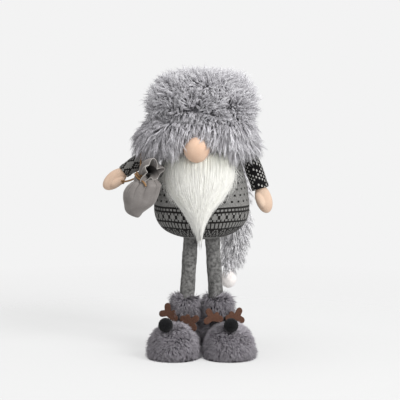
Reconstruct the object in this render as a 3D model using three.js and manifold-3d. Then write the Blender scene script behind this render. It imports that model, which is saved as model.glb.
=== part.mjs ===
// Standing Christmas gnome: a stuffed, knit-covered body on two long legs in weighted fur boots, with a
// tall fur hat whose tail hangs down the back, a beard flap, wired arms and a tied gift sack.
// Millimetres, +Z up, the front faces -Y. Left and right are the gnome's own: its right hand, at -X,
// carries the sack. The origin is on the floor, in the middle of the gnome's outline.
import * as THREE from "three";
import { mergeVertices } from "three/addons/utils/BufferGeometryUtils.js";
import Module from "manifold-3d";

const wasm = await Module();
wasm.setup();

// Seams and seats. SEAT is the gap that sewn or glued neighbours keep in the model.
const SEAT = 0.3;

// Boots: a stuffed fur upper on a stiff sole, with a pellet bag in the toe and a fur roll at the ankle.
const SOLE_THICKNESS = 3;
const SOLE_INSET = 1.5;
const TOE_RADIUS = 45;
const TOE_REACH = 49;
const TOE_HEIGHT = 62;
const TOE_SWELL_HEIGHT = 16;
const HEEL_RADIUS = 24;
const HEEL_SWELL_HEIGHT = 26;
const INSTEP_HEIGHT = 68;
const BOOT_SPLAY = 27;
const BOOT_ROLL_RADIUS = 27.5;
const BOOT_ROLL_SHIFT = 3.6;
const BOOT_ROLL_BOTTOM = 58;
const BOOT_ROLL_HEIGHT = 46;
const PELLET_BAG_RADIUS = 29;
const PELLET_BAG_HEIGHT = 30;

// Felt antlers and pompom nose on each boot.
const FELT_THICKNESS = 2.6;
const ANTLER_STEM_WIDTH = 12.5;
const ANTLER_STEM_LENGTH = 16;
const ANTLER_LOBE_WIDTH = 11.5;
const ANTLER_LOBE_LENGTH = 11.5;
const ANTLER_LEAN = 10;
const ANTLER_BASE_REACH = 31;
const ANTLER_BASE_HEIGHT = 64;
const ANTLER_BASE_SPREAD = 8;
const RIGHT_OUTER_ANTLER_RISE = 31;
const RIGHT_INNER_ANTLER_RISE = -14;
const LEFT_OUTER_ANTLER_RISE = 6;
const LEFT_INNER_ANTLER_RISE = 14;
const POMPOM_RADIUS = 12;
const POMPOM_REACH = 74;
const RIGHT_POMPOM_TURN = 0;
const LEFT_POMPOM_TURN = -22;

// Legs: knit tubes over stiff rods that run from the soles to a board in the body.
const LEG_RADIUS = 12.6;
const LEG_SHOWING = 94;
const LEG_IN_BODY = 8;
const LEG_SOCKET_FLOOR = 42;
const ANKLE_SPACING = 49;
const HIP_SPACING = 37;
const ROD_RADIUS = 3;
const HIP_BOARD_RADIUS = 42;
const HIP_BOARD_THICKNESS = 4;
const HIP_BOARD_HEIGHT = 15;

// Body: an egg of knit cloth that tapers into the head under the hat. Heights are above its underside.
const BELLY_RADIUS = 81.5;
const BELLY_HEIGHT = 54;
const SHOULDER_RADIUS = 66;
const SHOULDER_HEIGHT = 142;
const HEAD_RADIUS = 60;
const HEAD_HEIGHT = 180;
const BODY_HEIGHT = 217;

// Face: a stuffed nose and a beard flap that is sewn along its top edge only.
const NOSE_WIDTH = 43.5;
const NOSE_HEIGHT = 43;
const NOSE_DEPTH = 40;
const NOSE_SIDE_SHIFT = -8;
const NOSE_RISE = 156;
const NOSE_SINK = 4;
const BEARD_TOP_WIDTH = 114;
const BEARD_TOP_RISE = 147;
const BEARD_LENGTH = 157;
const BEARD_THICKNESS = 19;
const BEARD_TIP_SHIFT = -3;
const BEARD_TIP_IN = 6;
const BEARD_SHELL_OVER = 20;
const BEARD_LIFT = 30;
// Half the beard's outline, from the seam down: share of its length and share of half its top width.
const BEARD_SIDE = [
  [0, 0.92],
  [0.13, 1.02],
  [0.27, 0.99],
  [0.37, 0.91],
  [0.49, 0.72],
  [0.58, 0.5],
  [0.72, 0.26],
  [0.87, 0.12],
];

// Hat: a fur crown over a wad of filling, and a fur roll round its edge that flares over the shoulders.
const CROWN_RADIUS = 91;
const CROWN_HEIGHT = 86;
const CROWN_CREASE_RISE = 196;
const BAND_RADIUS = 72;
const BAND_DEPTH = 32;
const CROWN_WALL = 25;
const FILLING_BELOW_CREASE = 4;
const ROLL_FRONT_RADIUS = 99;
const ROLL_BACK_RADIUS = 100;
const ROLL_LEFT_RADIUS = 103;
const ROLL_RIGHT_RADIUS = 119;
const ROLL_TOP_OVERLAP = 8;
const ROLL_FRONT_HEIGHT = 30;
const ROLL_LEFT_HEIGHT = 46;
const ROLL_RIGHT_HEIGHT = 40;
const ROLL_FRONT_RISE = 4;
// How much less the roll reaches out at its top edge than at its bottom edge.
const ROLL_FRONT_SLOPE = 3;
const ROLL_LEFT_SLOPE = 5;
const ROLL_RIGHT_SLOPE = 18;
const ROLL_SEAM_DEPTH = 3;

// Hat tail and the ball on its tip.
const TAIL_ROOT = [36, 95.6, 252];
const TAIL_WIDTH = 50;
const TAIL_DEPTH = 28;
const TAIL_CLEAR_OF_ROLL = 1;
const TAIL_DROP = 316;
const TAIL_TIP_RADIUS = 2.6;
// The tail's middle line below its root: shift to the left, distance behind the line that it lies on,
// and share of the drop.
const TAIL_LINE = [
  [4, -3, 0.107],
  [9, 1, 0.233],
  [16, 0, 0.467],
  [24, 0, 0.717],
  [22, 0, 0.883],
  [12, -4, 1],
];
const BALL_RADIUS = 14;
const BALL_THREAD_LENGTH = 5;
const BALL_THREAD_RADIUS = 1.1;

// Arms: knit sleeves with mitten hands, on soft wires. Angles are below level, in degrees.
const SLEEVE_LENGTH = 60;
const SLEEVE_SHOULDER_RADIUS = 13.6;
const SLEEVE_SWELL = 1.2;
const RIGHT_SLEEVE_END_RADIUS = 11.2;
const LEFT_SLEEVE_END_RADIUS = 13.6;
const SLEEVE_HEM_LENGTH = 9;
const SLEEVE_HEM_STEP = 0.9;
const RIGHT_ARM_DROOP = 28;
const LEFT_ARM_DROOP = 70;
const RIGHT_ARM_BEND = 11;
const LEFT_ARM_BEND = 3;
const ARM_FORWARD_LEAN = 6;
const WRIST_RADIUS = 7.5;
const WRIST_DEPTH = 9;
const WRIST_IN_HAND = 6;
const HAND_LENGTH = 43;
const HAND_END_LOST = 6;
const HAND_WIDTH = 28;
const HAND_DEPTH = 22;
const THUMB_LENGTH = 27;
const THUMB_RADIUS = 7;
const THUMB_TURN = 38;
const ARM_WIRE_RADIUS = 1.2;

// Sack: one velvet bag, gathered at the neck under a twine winding. It hangs at NECK_PLACE.
const SACK_NECK_RADIUS = 5.6;
const NECK_ABOVE = 4.2;
const NECK_BELOW = 6.6;
const NECK_TILT = 45;
const SACK_WIDTH = 60;
const SACK_DEPTH = 46;
const SACK_DROP = 71.5;
const SACK_PLEATS = 9;
// Rings of the pouch: share of the drop, shift to the side, share of half the width, depth of pleats and
// share of the neck's tilt.
const POUCH_RINGS = [
  [1, -3.5, 0.17, 0, 0],
  [0.972, -5.2, 0.24, 0, 0],
  [0.9, -8.6, 0.447, 0, 0],
  [0.783, -6, 0.65, 0, 0],
  [0.669, -2.6, 0.823, 0, 0],
  [0.531, 0, 0.95, 0, 0],
  [0.392, 2.2, 0.993, 0.01, 0],
  [0.341, 3.5, 0.983, 0.015, 0],
  [0.224, 5.5, 0.843, 0.03, 0],
  [0.145, 4.3, 0.565, 0.07, 0.06],
  [0.103, 1.2, 0.35, 0.1, 0.35],
];
const SACK_MOUTH_RADIUS = 17;
const SACK_MOUTH_LENGTH = 28;
const SACK_CLOTH = 1.6;
const MOUTH_FOLDS = 3;
const MOUTH_FOLD_TURN = 36;
const NECK_PLACE = [-102, -60, 112];
const TWINE_DIAMETER = 3.2;
const WINDING_TURNS = 2;
// The route of the winding's loose end, from where it leaves the neck.
const WINDING_TAIL = [
  [3, -3.7, -1.7],
  [6.5, -7.8, -3.7],
  [9.9, -11.4, -6.1],
  [12.5, -14.6, -9.1],
  [13.9, -16.8, -12.5],
];
const WINDING_PITCH = 3.8;
const KNOT_WIDTH = 8;

// Heights above the floor that follow from the sizes above.
const soleTop = SOLE_THICKNESS + SEAT;
const bootTop = BOOT_ROLL_BOTTOM + BOOT_ROLL_HEIGHT;
const bodyBottom = bootTop + LEG_SHOWING;
const creaseZ = bodyBottom + CROWN_CREASE_RISE;
const shoulderZ = bodyBottom + SHOULDER_HEIGHT;
const noseZ = bodyBottom + NOSE_RISE;
const beardTopZ = bodyBottom + BEARD_TOP_RISE;

const radians = THREE.MathUtils.degToRad;
const point = (x, y, z) => new THREE.Vector3(x, y, z);

// A skin over a row of rings. Each ring has the same number of points, or one point where the form closes.
// With loop the last ring joins the first, as on a ring-shaped piece.
function skin(rings, loop = false) {
  const starts = [];
  let count = 0;
  for (const ring of rings) {
    starts.push(count);
    count += ring.length;
  }
  const faces = [];
  for (let i = 0; i < rings.length - (loop ? 0 : 1); i++) {
    const next = (i + 1) % rings.length;
    const around = Math.max(rings[i].length, rings[next].length);
    const at = (ring, j) => starts[ring] + (rings[ring].length > 1 ? j % around : 0);
    for (let j = 0; j < around; j++) {
      if (rings[i].length > 1) faces.push(at(i, j), at(i, j + 1), at(next, j));
      if (rings[next].length > 1) faces.push(at(i, j + 1), at(next, j + 1), at(next, j));
    }
  }
  const points = rings.flat();
  let volume = 0;
  for (let i = 0; i < faces.length; i += 3) {
    volume += points[faces[i]].dot(point(0, 0, 0).crossVectors(points[faces[i + 1]], points[faces[i + 2]]));
  }
  if (volume < 0) faces.reverse();
  const geometry = new THREE.BufferGeometry().setFromPoints(points);
  geometry.setIndex(faces);
  return geometry;
}

// A ring of points from a function of the angle, in radians.
function ringOf(count, place) {
  return Array.from({ length: count }, (_, j) => place((2 * Math.PI * j) / count));
}

// Flat ends for a row of rings: one point in the middle of the first ring and of the last.
function withEnds(rings) {
  const middle = (ring) => ring.reduce((sum, p) => sum.add(p), point(0, 0, 0)).divideScalar(ring.length);
  return [[middle(rings[0])], ...rings, [middle(rings.at(-1))]];
}

// A profile of (radius, height) points, turned about the Z axis.
function revolve(profile, segments = 40) {
  return new THREE.LatheGeometry(profile, segments).rotateX(Math.PI / 2);
}

// A profile moved outwards by a distance, square to its own line. Points on the axis stay on it.
function grown(profile, distance) {
  return profile.map((p, i) => {
    const before = profile[Math.max(i - 1, 0)];
    const after = profile[Math.min(i + 1, profile.length - 1)];
    const along = after.clone().sub(before).normalize();
    if (p.x < 1e-6) return new THREE.Vector2(0, p.y - Math.sign(along.x) * distance);
    return new THREE.Vector2(Math.max(0, p.x + along.y * distance), p.y - along.x * distance);
  });
}

function ellipsoid(width, depth, height, centre, segments = 24, bands = 14) {
  return new THREE.SphereGeometry(1, segments, bands)
    .rotateX(Math.PI / 2)
    .scale(width / 2, depth / 2, height / 2)
    .translate(centre.x, centre.y, centre.z);
}

function cylinder(radius, bottom, top, segments = 20) {
  return new THREE.CylinderGeometry(radius, radius, top - bottom, segments)
    .rotateX(Math.PI / 2)
    .translate(0, 0, (top + bottom) / 2);
}

// A round tube along a curve.
function tube(curve, radius, sides, steps) {
  const section = new THREE.Shape(
    Array.from({ length: sides }, (_, i) => {
      const angle = (2 * Math.PI * i) / sides;
      return new THREE.Vector2(radius * Math.cos(angle), radius * Math.sin(angle));
    }),
  );
  return new THREE.ExtrudeGeometry(section, { extrudePath: curve, steps, bevelEnabled: false });
}

// Geometry to a solid that can be joined and cut, and back.
function solidOf(geometry) {
  const bare = new THREE.BufferGeometry();
  bare.setAttribute("position", geometry.getAttribute("position").clone());
  if (geometry.index) bare.setIndex(geometry.index.clone());
  const merged = mergeVertices(bare, 1e-3);
  return new wasm.Manifold(
    new wasm.Mesh({
      numProp: 3,
      vertProperties: merged.getAttribute("position").array,
      triVerts: new Uint32Array(merged.index.array),
    }),
  );
}

function geometryOf(solid) {
  const mesh = solid.getMesh();
  const geometry = new THREE.BufferGeometry();
  geometry.setAttribute("position", new THREE.BufferAttribute(new Float32Array(mesh.vertProperties), 3));
  geometry.setIndex(new THREE.BufferAttribute(new Uint32Array(mesh.triVerts), 1));
  return geometry;
}

// The first geometry with others joined to it or cut from it.
function join(first, ...others) {
  return geometryOf(others.reduce((sum, other) => sum.add(solidOf(other)), solidOf(first)));
}

function cut(first, ...others) {
  return geometryOf(others.reduce((rest, other) => rest.subtract(solidOf(other)), solidOf(first)));
}

function common(first, second) {
  return geometryOf(solidOf(first).intersect(solidOf(second)));
}

// A round of material below a height, wider and deeper than any piece, for cutting off what lies there.
const FAR = 200;
const below = (top) => new THREE.BoxGeometry(2 * FAR, 2 * FAR, FAR).translate(0, 0, top - FAR / 2);
const above = (bottom) => below(bottom + FAR);

const COLOURS = {
  hatFur: 0x97959a,
  bootFur: 0x6b686d,
  bodyKnit: 0x7f7f7e,
  legKnit: 0x6a6a69,
  skin: 0xe2bf9f,
  nose: 0xe6bb98,
  beard: 0xe9e8e3,
  velvet: 0x85817e,
  twine: 0xa6763f,
  felt: 0x5b3a2d,
  pompom: 0x1e1f21,
  ball: 0xeae2df,
  filling: 0xf0efea,
  board: 0xa58a63,
  steel: 0x9a9da0,
  sole: 0x2c2a2c,
  sand: 0xb59b74,
};

function piece(name, geometry, colour, roughness = 0.95, metalness = 0) {
  const flat = geometry.index ? geometry.toNonIndexed() : geometry;
  flat.computeVertexNormals();
  const mesh = new THREE.Mesh(flat, new THREE.MeshStandardMaterial({ color: colour, roughness, metalness }));
  mesh.name = name;
  return mesh;
}

// Body outline from the underside to the top of the head, as (radius, height) points: three smooth
// stretches, round the belly, up to the shoulders, and over the head.
function bodyProfile(grow = 0) {
  const [belly, shoulder, head] = [BELLY_RADIUS, SHOULDER_RADIUS, HEAD_RADIUS];
  const chest = (SHOULDER_HEIGHT - BELLY_HEIGHT) / 3;
  const chestTop = SHOULDER_HEIGHT - chest;
  const path = new THREE.Path();
  path.moveTo(0, 0);
  path.bezierCurveTo(belly * 0.66, 0, belly, BELLY_HEIGHT * 0.36, belly, BELLY_HEIGHT);
  path.bezierCurveTo(belly, BELLY_HEIGHT + chest, shoulder + 5, chestTop, shoulder, SHOULDER_HEIGHT);
  path.bezierCurveTo(shoulder - 2, SHOULDER_HEIGHT + 12, head + 2, HEAD_HEIGHT - 14, head, HEAD_HEIGHT);
  path.bezierCurveTo(head * 0.94, HEAD_HEIGHT + 20, head * 0.55, BODY_HEIGHT, 0, BODY_HEIGHT);
  const points = path.getPoints(5);
  return grown(points, grow).map((p) => new THREE.Vector2(p.x, p.y + bodyBottom));
}

// The body's radius at a height above the floor, read from its outline.
function bodyRadiusAt(z) {
  const profile = bodyProfile();
  const i = profile.findIndex((p, k) => k > 0 && p.y >= z);
  const [low, high] = [profile[i - 1], profile[i]];
  return THREE.MathUtils.mapLinear(z, low.y, high.y, low.x, high.x);
}

const body = (grow = 0) => revolve(bodyProfile(grow), 32);

// A leg's middle line: upright in the boot, then leaning in to the hip.
function legX(z) {
  const share = THREE.MathUtils.clamp((z - bootTop) / (bodyBottom - bootTop), 0, 1.4);
  return THREE.MathUtils.lerp(ANKLE_SPACING / 2, HIP_SPACING / 2, share);
}

function legTube(side, radius, heights, sides) {
  const rings = heights.map((z) =>
    ringOf(sides, (a) => point(side * legX(z) + radius * Math.cos(a), radius * Math.sin(a), z)),
  );
  return skin(withEnds(rings));
}

const hipBoardBottom = bodyBottom + HIP_BOARD_HEIGHT;
const hipBoardTop = hipBoardBottom + HIP_BOARD_THICKNESS;
const rodHeights = [soleTop, bootTop, (bootTop + bodyBottom) / 2, bodyBottom, hipBoardTop - SEAT];

function legRod(side, grow = 0) {
  const heights = [...rodHeights];
  heights[0] -= grow;
  heights[heights.length - 1] += grow;
  return legTube(side, ROD_RADIUS + grow, heights, 10);
}

function legSleeve(side) {
  const middle = (bootTop + bodyBottom) / 2;
  const heights = [LEG_SOCKET_FLOOR + SEAT, bootTop, middle, bodyBottom, bodyBottom + LEG_IN_BODY];
  return cut(legTube(side, LEG_RADIUS, heights, 18), body(SEAT), legRod(side, SEAT));
}

function hipBoard() {
  const disc = cylinder(HIP_BOARD_RADIUS, hipBoardBottom, hipBoardTop, 28);
  return cut(disc, legRod(-1, SEAT), legRod(1, SEAT));
}

// The body is solid filling apart from the board's seat and the two holes for the rods.
function bodyShell() {
  const seat = cylinder(HIP_BOARD_RADIUS + SEAT, hipBoardBottom - SEAT, hipBoardTop + SEAT, 28);
  return cut(body(), seat, legRod(-1, SEAT), legRod(1, SEAT));
}

// Boot, in its own frame: the origin is on the floor under the ankle and the toe points to -Y.
function toeDome(grow = 0) {
  const height = 2 * (TOE_HEIGHT - TOE_SWELL_HEIGHT + grow);
  const width = 2 * (TOE_RADIUS + grow);
  return ellipsoid(width, width, height, point(0, -TOE_REACH, TOE_SWELL_HEIGHT), 24, 12);
}

function heelDome(grow = 0) {
  const width = 2 * (HEEL_RADIUS + grow);
  const height = 2 * (INSTEP_HEIGHT - HEEL_SWELL_HEIGHT + grow);
  return ellipsoid(width, width, height, point(0, 0, HEEL_SWELL_HEIGHT), 18, 10);
}

const bootForm = (grow = 0) => cut(join(toeDome(grow), heelDome(grow)), below(soleTop - grow));

function bootSole() {
  const toe = TOE_RADIUS - SOLE_INSET;
  const heel = HEEL_RADIUS - SOLE_INSET;
  const turn = Math.asin((toe - heel) / TOE_REACH);
  const outline = new THREE.Shape();
  outline.absarc(0, -TOE_REACH, toe, Math.PI - turn, 2 * Math.PI + turn, false);
  outline.absarc(0, 0, heel, turn, Math.PI - turn, false);
  const cutting = { depth: SOLE_THICKNESS, bevelEnabled: false, curveSegments: 14 };
  return new THREE.ExtrudeGeometry(outline, cutting);
}

function pelletBag(grow = 0) {
  const width = 2 * (PELLET_BAG_RADIUS + grow);
  const height = 2 * (PELLET_BAG_HEIGHT + grow);
  const bag = ellipsoid(width, width, height, point(0, -TOE_REACH, SOLE_THICKNESS), 16, 8);
  return cut(bag, below(soleTop + SEAT - 2 * grow));
}

// The fur roll round the ankle, a ring of rounded section, set off to the outside of the leg.
function ankleRoll(side) {
  const inner = LEG_RADIUS - 1;
  const rings = Array.from({ length: 20 }, (_, i) => {
    const a = (2 * Math.PI * i) / 20;
    return ringOf(10, (b) => {
      const across = Math.sign(Math.cos(b)) * Math.abs(Math.cos(b)) ** 0.75;
      const up = Math.sign(Math.sin(b)) * Math.abs(Math.sin(b)) ** 0.75;
      const middle = (BOOT_ROLL_RADIUS + inner) / 2;
      const radius = middle + (across * (BOOT_ROLL_RADIUS - inner)) / 2;
      const shift = (side * BOOT_ROLL_SHIFT * (radius - inner)) / (BOOT_ROLL_RADIUS - inner);
      const z = BOOT_ROLL_BOTTOM + (BOOT_ROLL_HEIGHT * (1 + up)) / 2;
      return point(shift + radius * Math.cos(a), radius * Math.sin(a), z);
    });
  });
  const legHole = cylinder(LEG_RADIUS + SEAT, 0, 2 * bootTop, 18);
  return cut(skin(rings, true), legHole, bootForm(SEAT));
}

function bootUpper() {
  const legHole = cylinder(LEG_RADIUS + SEAT, LEG_SOCKET_FLOOR, bootTop, 18);
  const rodHole = cylinder(ROD_RADIUS + SEAT, 0, LEG_SOCKET_FLOOR + 1, 10);
  return cut(bootForm(), pelletBag(SEAT), legHole, rodHole);
}

// A flat felt lobe with a round end, from one point to another.
function feltLobe(from, angle, length, width) {
  const outline = new THREE.Shape();
  const half = width / 2;
  outline.absarc(length, 0, half, -Math.PI / 2, Math.PI / 2, false);
  outline.absarc(0, 0, half, Math.PI / 2, (3 * Math.PI) / 2, false);
  return new THREE.ExtrudeGeometry(outline, { depth: FELT_THICKNESS, bevelEnabled: false, curveSegments: 4 })
    .translate(0, 0, -FELT_THICKNESS / 2)
    .rotateZ(radians(angle))
    .translate(from, 0, 0);
}

// One die-cut antler, growing along +X in its own plane: a broad stem with a bump and two round lobes.
function antlerBlank() {
  const fork = ANTLER_STEM_LENGTH;
  return join(
    feltLobe(0, 0, fork, ANTLER_STEM_WIDTH),
    feltLobe(fork, 50, ANTLER_LOBE_LENGTH, ANTLER_LOBE_WIDTH),
    feltLobe(fork, -42, ANTLER_LOBE_LENGTH, ANTLER_LOBE_WIDTH),
    feltLobe(fork * 0.3, 70, ANTLER_LOBE_LENGTH * 0.6, ANTLER_LOBE_WIDTH * 0.8),
  );
}

// An antler stood up between the toe and the ankle roll. hand is 1 for growth to +X and -1 for -X.
function antler(side, hand, rise) {
  const standing = antlerBlank()
    .rotateZ(radians(rise))
    .rotateX(Math.PI / 2 - radians(ANTLER_LEAN))
    .translate(ANTLER_BASE_SPREAD, -ANTLER_BASE_REACH, ANTLER_BASE_HEIGHT);
  const turned = hand > 0 ? standing : mirrored(standing);
  return cut(turned, bootForm(SEAT), rollEnvelope(side));
}

// The same form on the other side of the YZ plane.
function mirrored(geometry) {
  const flat = geometry.index ? geometry.toNonIndexed() : geometry.clone();
  flat.scale(-1, 1, 1);
  const places = flat.getAttribute("position");
  for (let i = 0; i < places.count; i += 3) {
    const [a, b] = [i, i + 2].map((k) => point(places.getX(k), places.getY(k), places.getZ(k)));
    places.setXYZ(i, b.x, b.y, b.z);
    places.setXYZ(i + 2, a.x, a.y, a.z);
  }
  return flat;
}

// A plain drum a little larger than the ankle roll, for cutting what stands against it.
function rollEnvelope(side) {
  const drum = cylinder(BOOT_ROLL_RADIUS + SEAT, BOOT_ROLL_BOTTOM, bootTop + SEAT, 28);
  return drum.translate(side * BOOT_ROLL_SHIFT, 0, 0);
}

// The pompom nose on the toe's front, turned round the toe by an angle.
function bootPompom(turn) {
  const along = (POMPOM_REACH - TOE_REACH) / TOE_RADIUS;
  const height = TOE_SWELL_HEIGHT + (TOE_HEIGHT - TOE_SWELL_HEIGHT) * Math.sqrt(1 - along * along);
  const slope = Math.asin(along);
  const stand = POMPOM_RADIUS * 0.62;
  const centre = point(0, -POMPOM_REACH - stand * Math.sin(slope), height + stand * Math.cos(slope));
  const width = 2 * POMPOM_RADIUS;
  const ball = ellipsoid(width, width, width, centre, 14, 8)
    .translate(0, TOE_REACH, 0)
    .rotateZ(radians(turn))
    .translate(0, -TOE_REACH, 0);
  return cut(ball, toeDome(SEAT));
}

// Hat crown: a dome of fur above the crease and a narrow band below it, inside the roll.
function crownProfile(grow = 0) {
  const path = new THREE.Path();
  path.moveTo(0, creaseZ - BAND_DEPTH);
  path.lineTo(BAND_RADIUS, creaseZ - BAND_DEPTH);
  const bottom = creaseZ - ROLL_TOP_OVERLAP;
  const top = creaseZ + CROWN_HEIGHT;
  const wide = CROWN_RADIUS;
  path.lineTo(BAND_RADIUS, bottom);
  path.bezierCurveTo(wide * 0.93, bottom, wide, creaseZ, wide, creaseZ + CROWN_HEIGHT * 0.19);
  path.bezierCurveTo(wide, creaseZ + CROWN_HEIGHT * 0.86, wide * 0.9, top, 0, top);
  return grown(path.getPoints(6), grow);
}

const crownForm = (grow = 0) => revolve(crownProfile(grow), 32);

function fillingForm(grow = 0) {
  const radius = CROWN_RADIUS - CROWN_WALL + grow;
  const height = CROWN_HEIGHT - CROWN_WALL + grow;
  const dome = ellipsoid(2 * radius, 2 * radius, 2 * height, point(0, 0, creaseZ), 20, 8);
  return cut(dome, below(creaseZ - FILLING_BELOW_CREASE - grow));
}

const hatFilling = () => cut(fillingForm(), body(SEAT));
const hatCrown = () => cut(crownForm(), fillingForm(SEAT), body(SEAT), noseForm(SEAT));

// A size that changes smoothly round the hat, from its values at the left, back, right and front. The
// front's share grows with a power of how far round to the front it is, so a high one makes a narrow arch.
function roundTheHat(angle, left, back, right, front, power = 2) {
  const x = Math.cos(angle);
  const y = Math.sin(angle);
  const share = y > 0 ? y * y : (-y) ** power;
  return (x > 0 ? left : right) * (1 - share) + (y > 0 ? back : front) * share;
}

function rollForm() {
  const sections = 36;
  const [left, back] = [ROLL_LEFT_RADIUS, ROLL_BACK_RADIUS];
  const [right, front] = [ROLL_RIGHT_RADIUS, ROLL_FRONT_RADIUS];
  const [tall, rightTall, low] = [ROLL_LEFT_HEIGHT, ROLL_RIGHT_HEIGHT, ROLL_FRONT_HEIGHT];
  const rings = Array.from({ length: sections }, (_, i) => {
    const a = (2 * Math.PI * i) / sections;
    const outer = roundTheHat(a, left, back, right, front);
    const slope = roundTheHat(a, ROLL_LEFT_SLOPE, 0, ROLL_RIGHT_SLOPE, ROLL_FRONT_SLOPE);
    const height = roundTheHat(a, tall, tall, rightTall, low, 6);
    const top = creaseZ + ROLL_TOP_OVERLAP + roundTheHat(a, 0, 0, 0, ROLL_FRONT_RISE);
    const inner = BAND_RADIUS - ROLL_SEAM_DEPTH;
    return ringOf(10, (b) => {
      const across = Math.sign(Math.cos(b)) * Math.abs(Math.cos(b)) ** 0.8;
      const up = Math.sign(Math.sin(b)) * Math.abs(Math.sin(b)) ** 0.8;
      const reach = outer - (slope * (1 + up)) / 2;
      const radius = (reach + inner) / 2 + (across * (reach - inner)) / 2;
      return point(radius * Math.cos(a), radius * Math.sin(a), top - (height * (1 - up)) / 2);
    });
  });
  return skin(rings, true);
}

const hatRoll = () => cut(rollForm(), crownForm(SEAT), noseForm(SEAT));

function noseForm(grow = 0) {
  const [width, depth, height] = [NOSE_WIDTH, NOSE_DEPTH, NOSE_HEIGHT].map((size) => size + 2 * grow);
  const y = -(bodyRadiusAt(noseZ) + NOSE_DEPTH / 2 - NOSE_SINK);
  return ellipsoid(width, depth, height, point(NOSE_SIDE_SHIFT, y, noseZ), 18, 12);
}

const nose = () => cut(noseForm(), body(SEAT));

// Beard: a shield cut from a shell that lies on the chest and hangs straight below the belly.
function beardOutline() {
  const half = BEARD_TOP_WIDTH / 2;
  const place = (sign) => ([down, wide]) =>
    new THREE.Vector2(sign * half * wide + BEARD_TIP_SHIFT * down, beardTopZ - BEARD_LENGTH * down);
  const tip = place(0)([1, 0]);
  const farSide = BEARD_SIDE.map(place(1)).reverse();
  const line = new THREE.SplineCurve([...BEARD_SIDE.map(place(-1)), tip, ...farSide]);
  return new THREE.Shape(line.getPoints(30));
}

// The chest line that the beard lies on, moved out by a distance that may shrink towards the tip.
function beardShell(distanceTop, distanceTip, wide) {
  const tip = beardTopZ - BEARD_LENGTH;
  const [bottom, top] = [tip - BEARD_SHELL_OVER, beardTopZ + BEARD_SHELL_OVER];
  const profile = [new THREE.Vector2(0, bottom)];
  for (let i = 0; i <= 14; i++) {
    const z = THREE.MathUtils.lerp(bottom, top, i / 14);
    const share = THREE.MathUtils.clamp((z - tip) / BEARD_LENGTH, 0, 1);
    const hanging = BELLY_RADIUS - (1 - share) * BEARD_TIP_IN;
    const chest = z > bodyBottom + BELLY_HEIGHT ? bodyRadiusAt(z) : hanging;
    profile.push(new THREE.Vector2(chest + THREE.MathUtils.lerp(distanceTip, distanceTop, share), z));
  }
  profile.push(new THREE.Vector2(0, top));
  return revolve(profile, 32).scale(wide, 1, 1);
}

// The beard turns about a line along its top seam. The nose is cut out of its whole way up.
const beardHinge = point(0, -bodyRadiusAt(beardTopZ) - 1, beardTopZ);

function beard() {
  const plate = new THREE.ExtrudeGeometry(beardOutline(), { depth: FAR, bevelEnabled: false });
  plate.rotateX(Math.PI / 2);
  const shield = cut(
    common(plate, beardShell(BEARD_THICKNESS, BEARD_THICKNESS * 0.35, 0.93)),
    beardShell(SEAT, SEAT, 1.06),
    body(SEAT),
  );
  const passes = [0, 10, 20, BEARD_LIFT].map((angle) =>
    noseForm(1.2)
      .translate(-beardHinge.x, -beardHinge.y, -beardHinge.z)
      .rotateX(radians(angle))
      .translate(beardHinge.x, beardHinge.y, beardHinge.z),
  );
  return cut(shield, ...passes);
}

// Hat tail: a flattened, tapering tube of fur down a line behind the hat, turning about its round top.
const tailRoot = point(TAIL_ROOT[0], TAIL_ROOT[1], TAIL_ROOT[2] + bodyBottom);
const tailLie = Math.sqrt(ROLL_BACK_RADIUS ** 2 - TAIL_ROOT[0] ** 2) + TAIL_DEPTH / 2 + TAIL_CLEAR_OF_ROLL;
const tailStations = TAIL_LINE.map(([x, y, share]) =>
  point(tailRoot.x + x, tailLie + y, tailRoot.z - share * TAIL_DROP),
);
const tailTip = tailStations.at(-1);

function hatTail() {
  const line = new THREE.CatmullRomCurve3([tailRoot, ...tailStations]);
  const steps = 16;
  const rings = Array.from({ length: steps }, (_, k) => {
    const t = Math.max(k, 0.3) / steps;
    const centre = line.getPointAt(t);
    const along = line.getTangentAt(t);
    const out = point(1, 0, 0).cross(along).normalize();
    const width = (TAIL_WIDTH / 2) * (0.84 + 0.3 * Math.sin(Math.PI * Math.min(1, t * 1.15))) * taper(t);
    const depth = (TAIL_DEPTH / 2) * taper(t);
    return ringOf(14, (a) =>
      centre.clone().add(point(width * Math.cos(a), 0, 0)).addScaledVector(out, depth * Math.sin(a)),
    );
  });
  const tip = ringOf(14, (a) =>
    point(TAIL_TIP_RADIUS * Math.cos(a), TAIL_TIP_RADIUS * Math.sin(a), 0).add(tailTip),
  );
  const length = skin(withEnds([...rings, tip]));
  const root = ellipsoid(TAIL_WIDTH, TAIL_DEPTH, TAIL_DEPTH, tailRoot, 16, 10);
  return cut(join(length, root), crownForm(SEAT), rollForm());
}

// Full thickness for most of the tail, then drawn in to the tip.
function taper(t) {
  return t < 0.72 ? 1 : Math.max(0.1, Math.sqrt(1 - ((t - 0.72) / 0.3) ** 2));
}

// The ball hangs on a thread from the tail's tip, in a frame whose origin is the thread's top.
function tailBall() {
  const width = 2 * BALL_RADIUS;
  const ball = ellipsoid(width, width, width, point(0, 0, -BALL_THREAD_LENGTH - BALL_RADIUS), 16, 10);
  const knot = new THREE.SphereGeometry(BALL_THREAD_RADIUS, 8, 6);
  return join(ball, cylinder(BALL_THREAD_RADIUS * 0.9, -BALL_THREAD_LENGTH - 2, 0, 8), knot);
}

// Arm, in its own frame: the origin is the shoulder and the arm runs down to -Z. side is -1 for the
// right arm and 1 for the left, and a bend bows the sleeve outwards.
function armLine(side, bend) {
  const bow = side * (SLEEVE_LENGTH / 2) * Math.tan(radians(bend));
  const [elbow, wrist] = [point(bow, 0, -SLEEVE_LENGTH / 2), point(0, 0, -SLEEVE_LENGTH)];
  return new THREE.QuadraticBezierCurve3(point(0, 0, 0), elbow, wrist);
}

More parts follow.
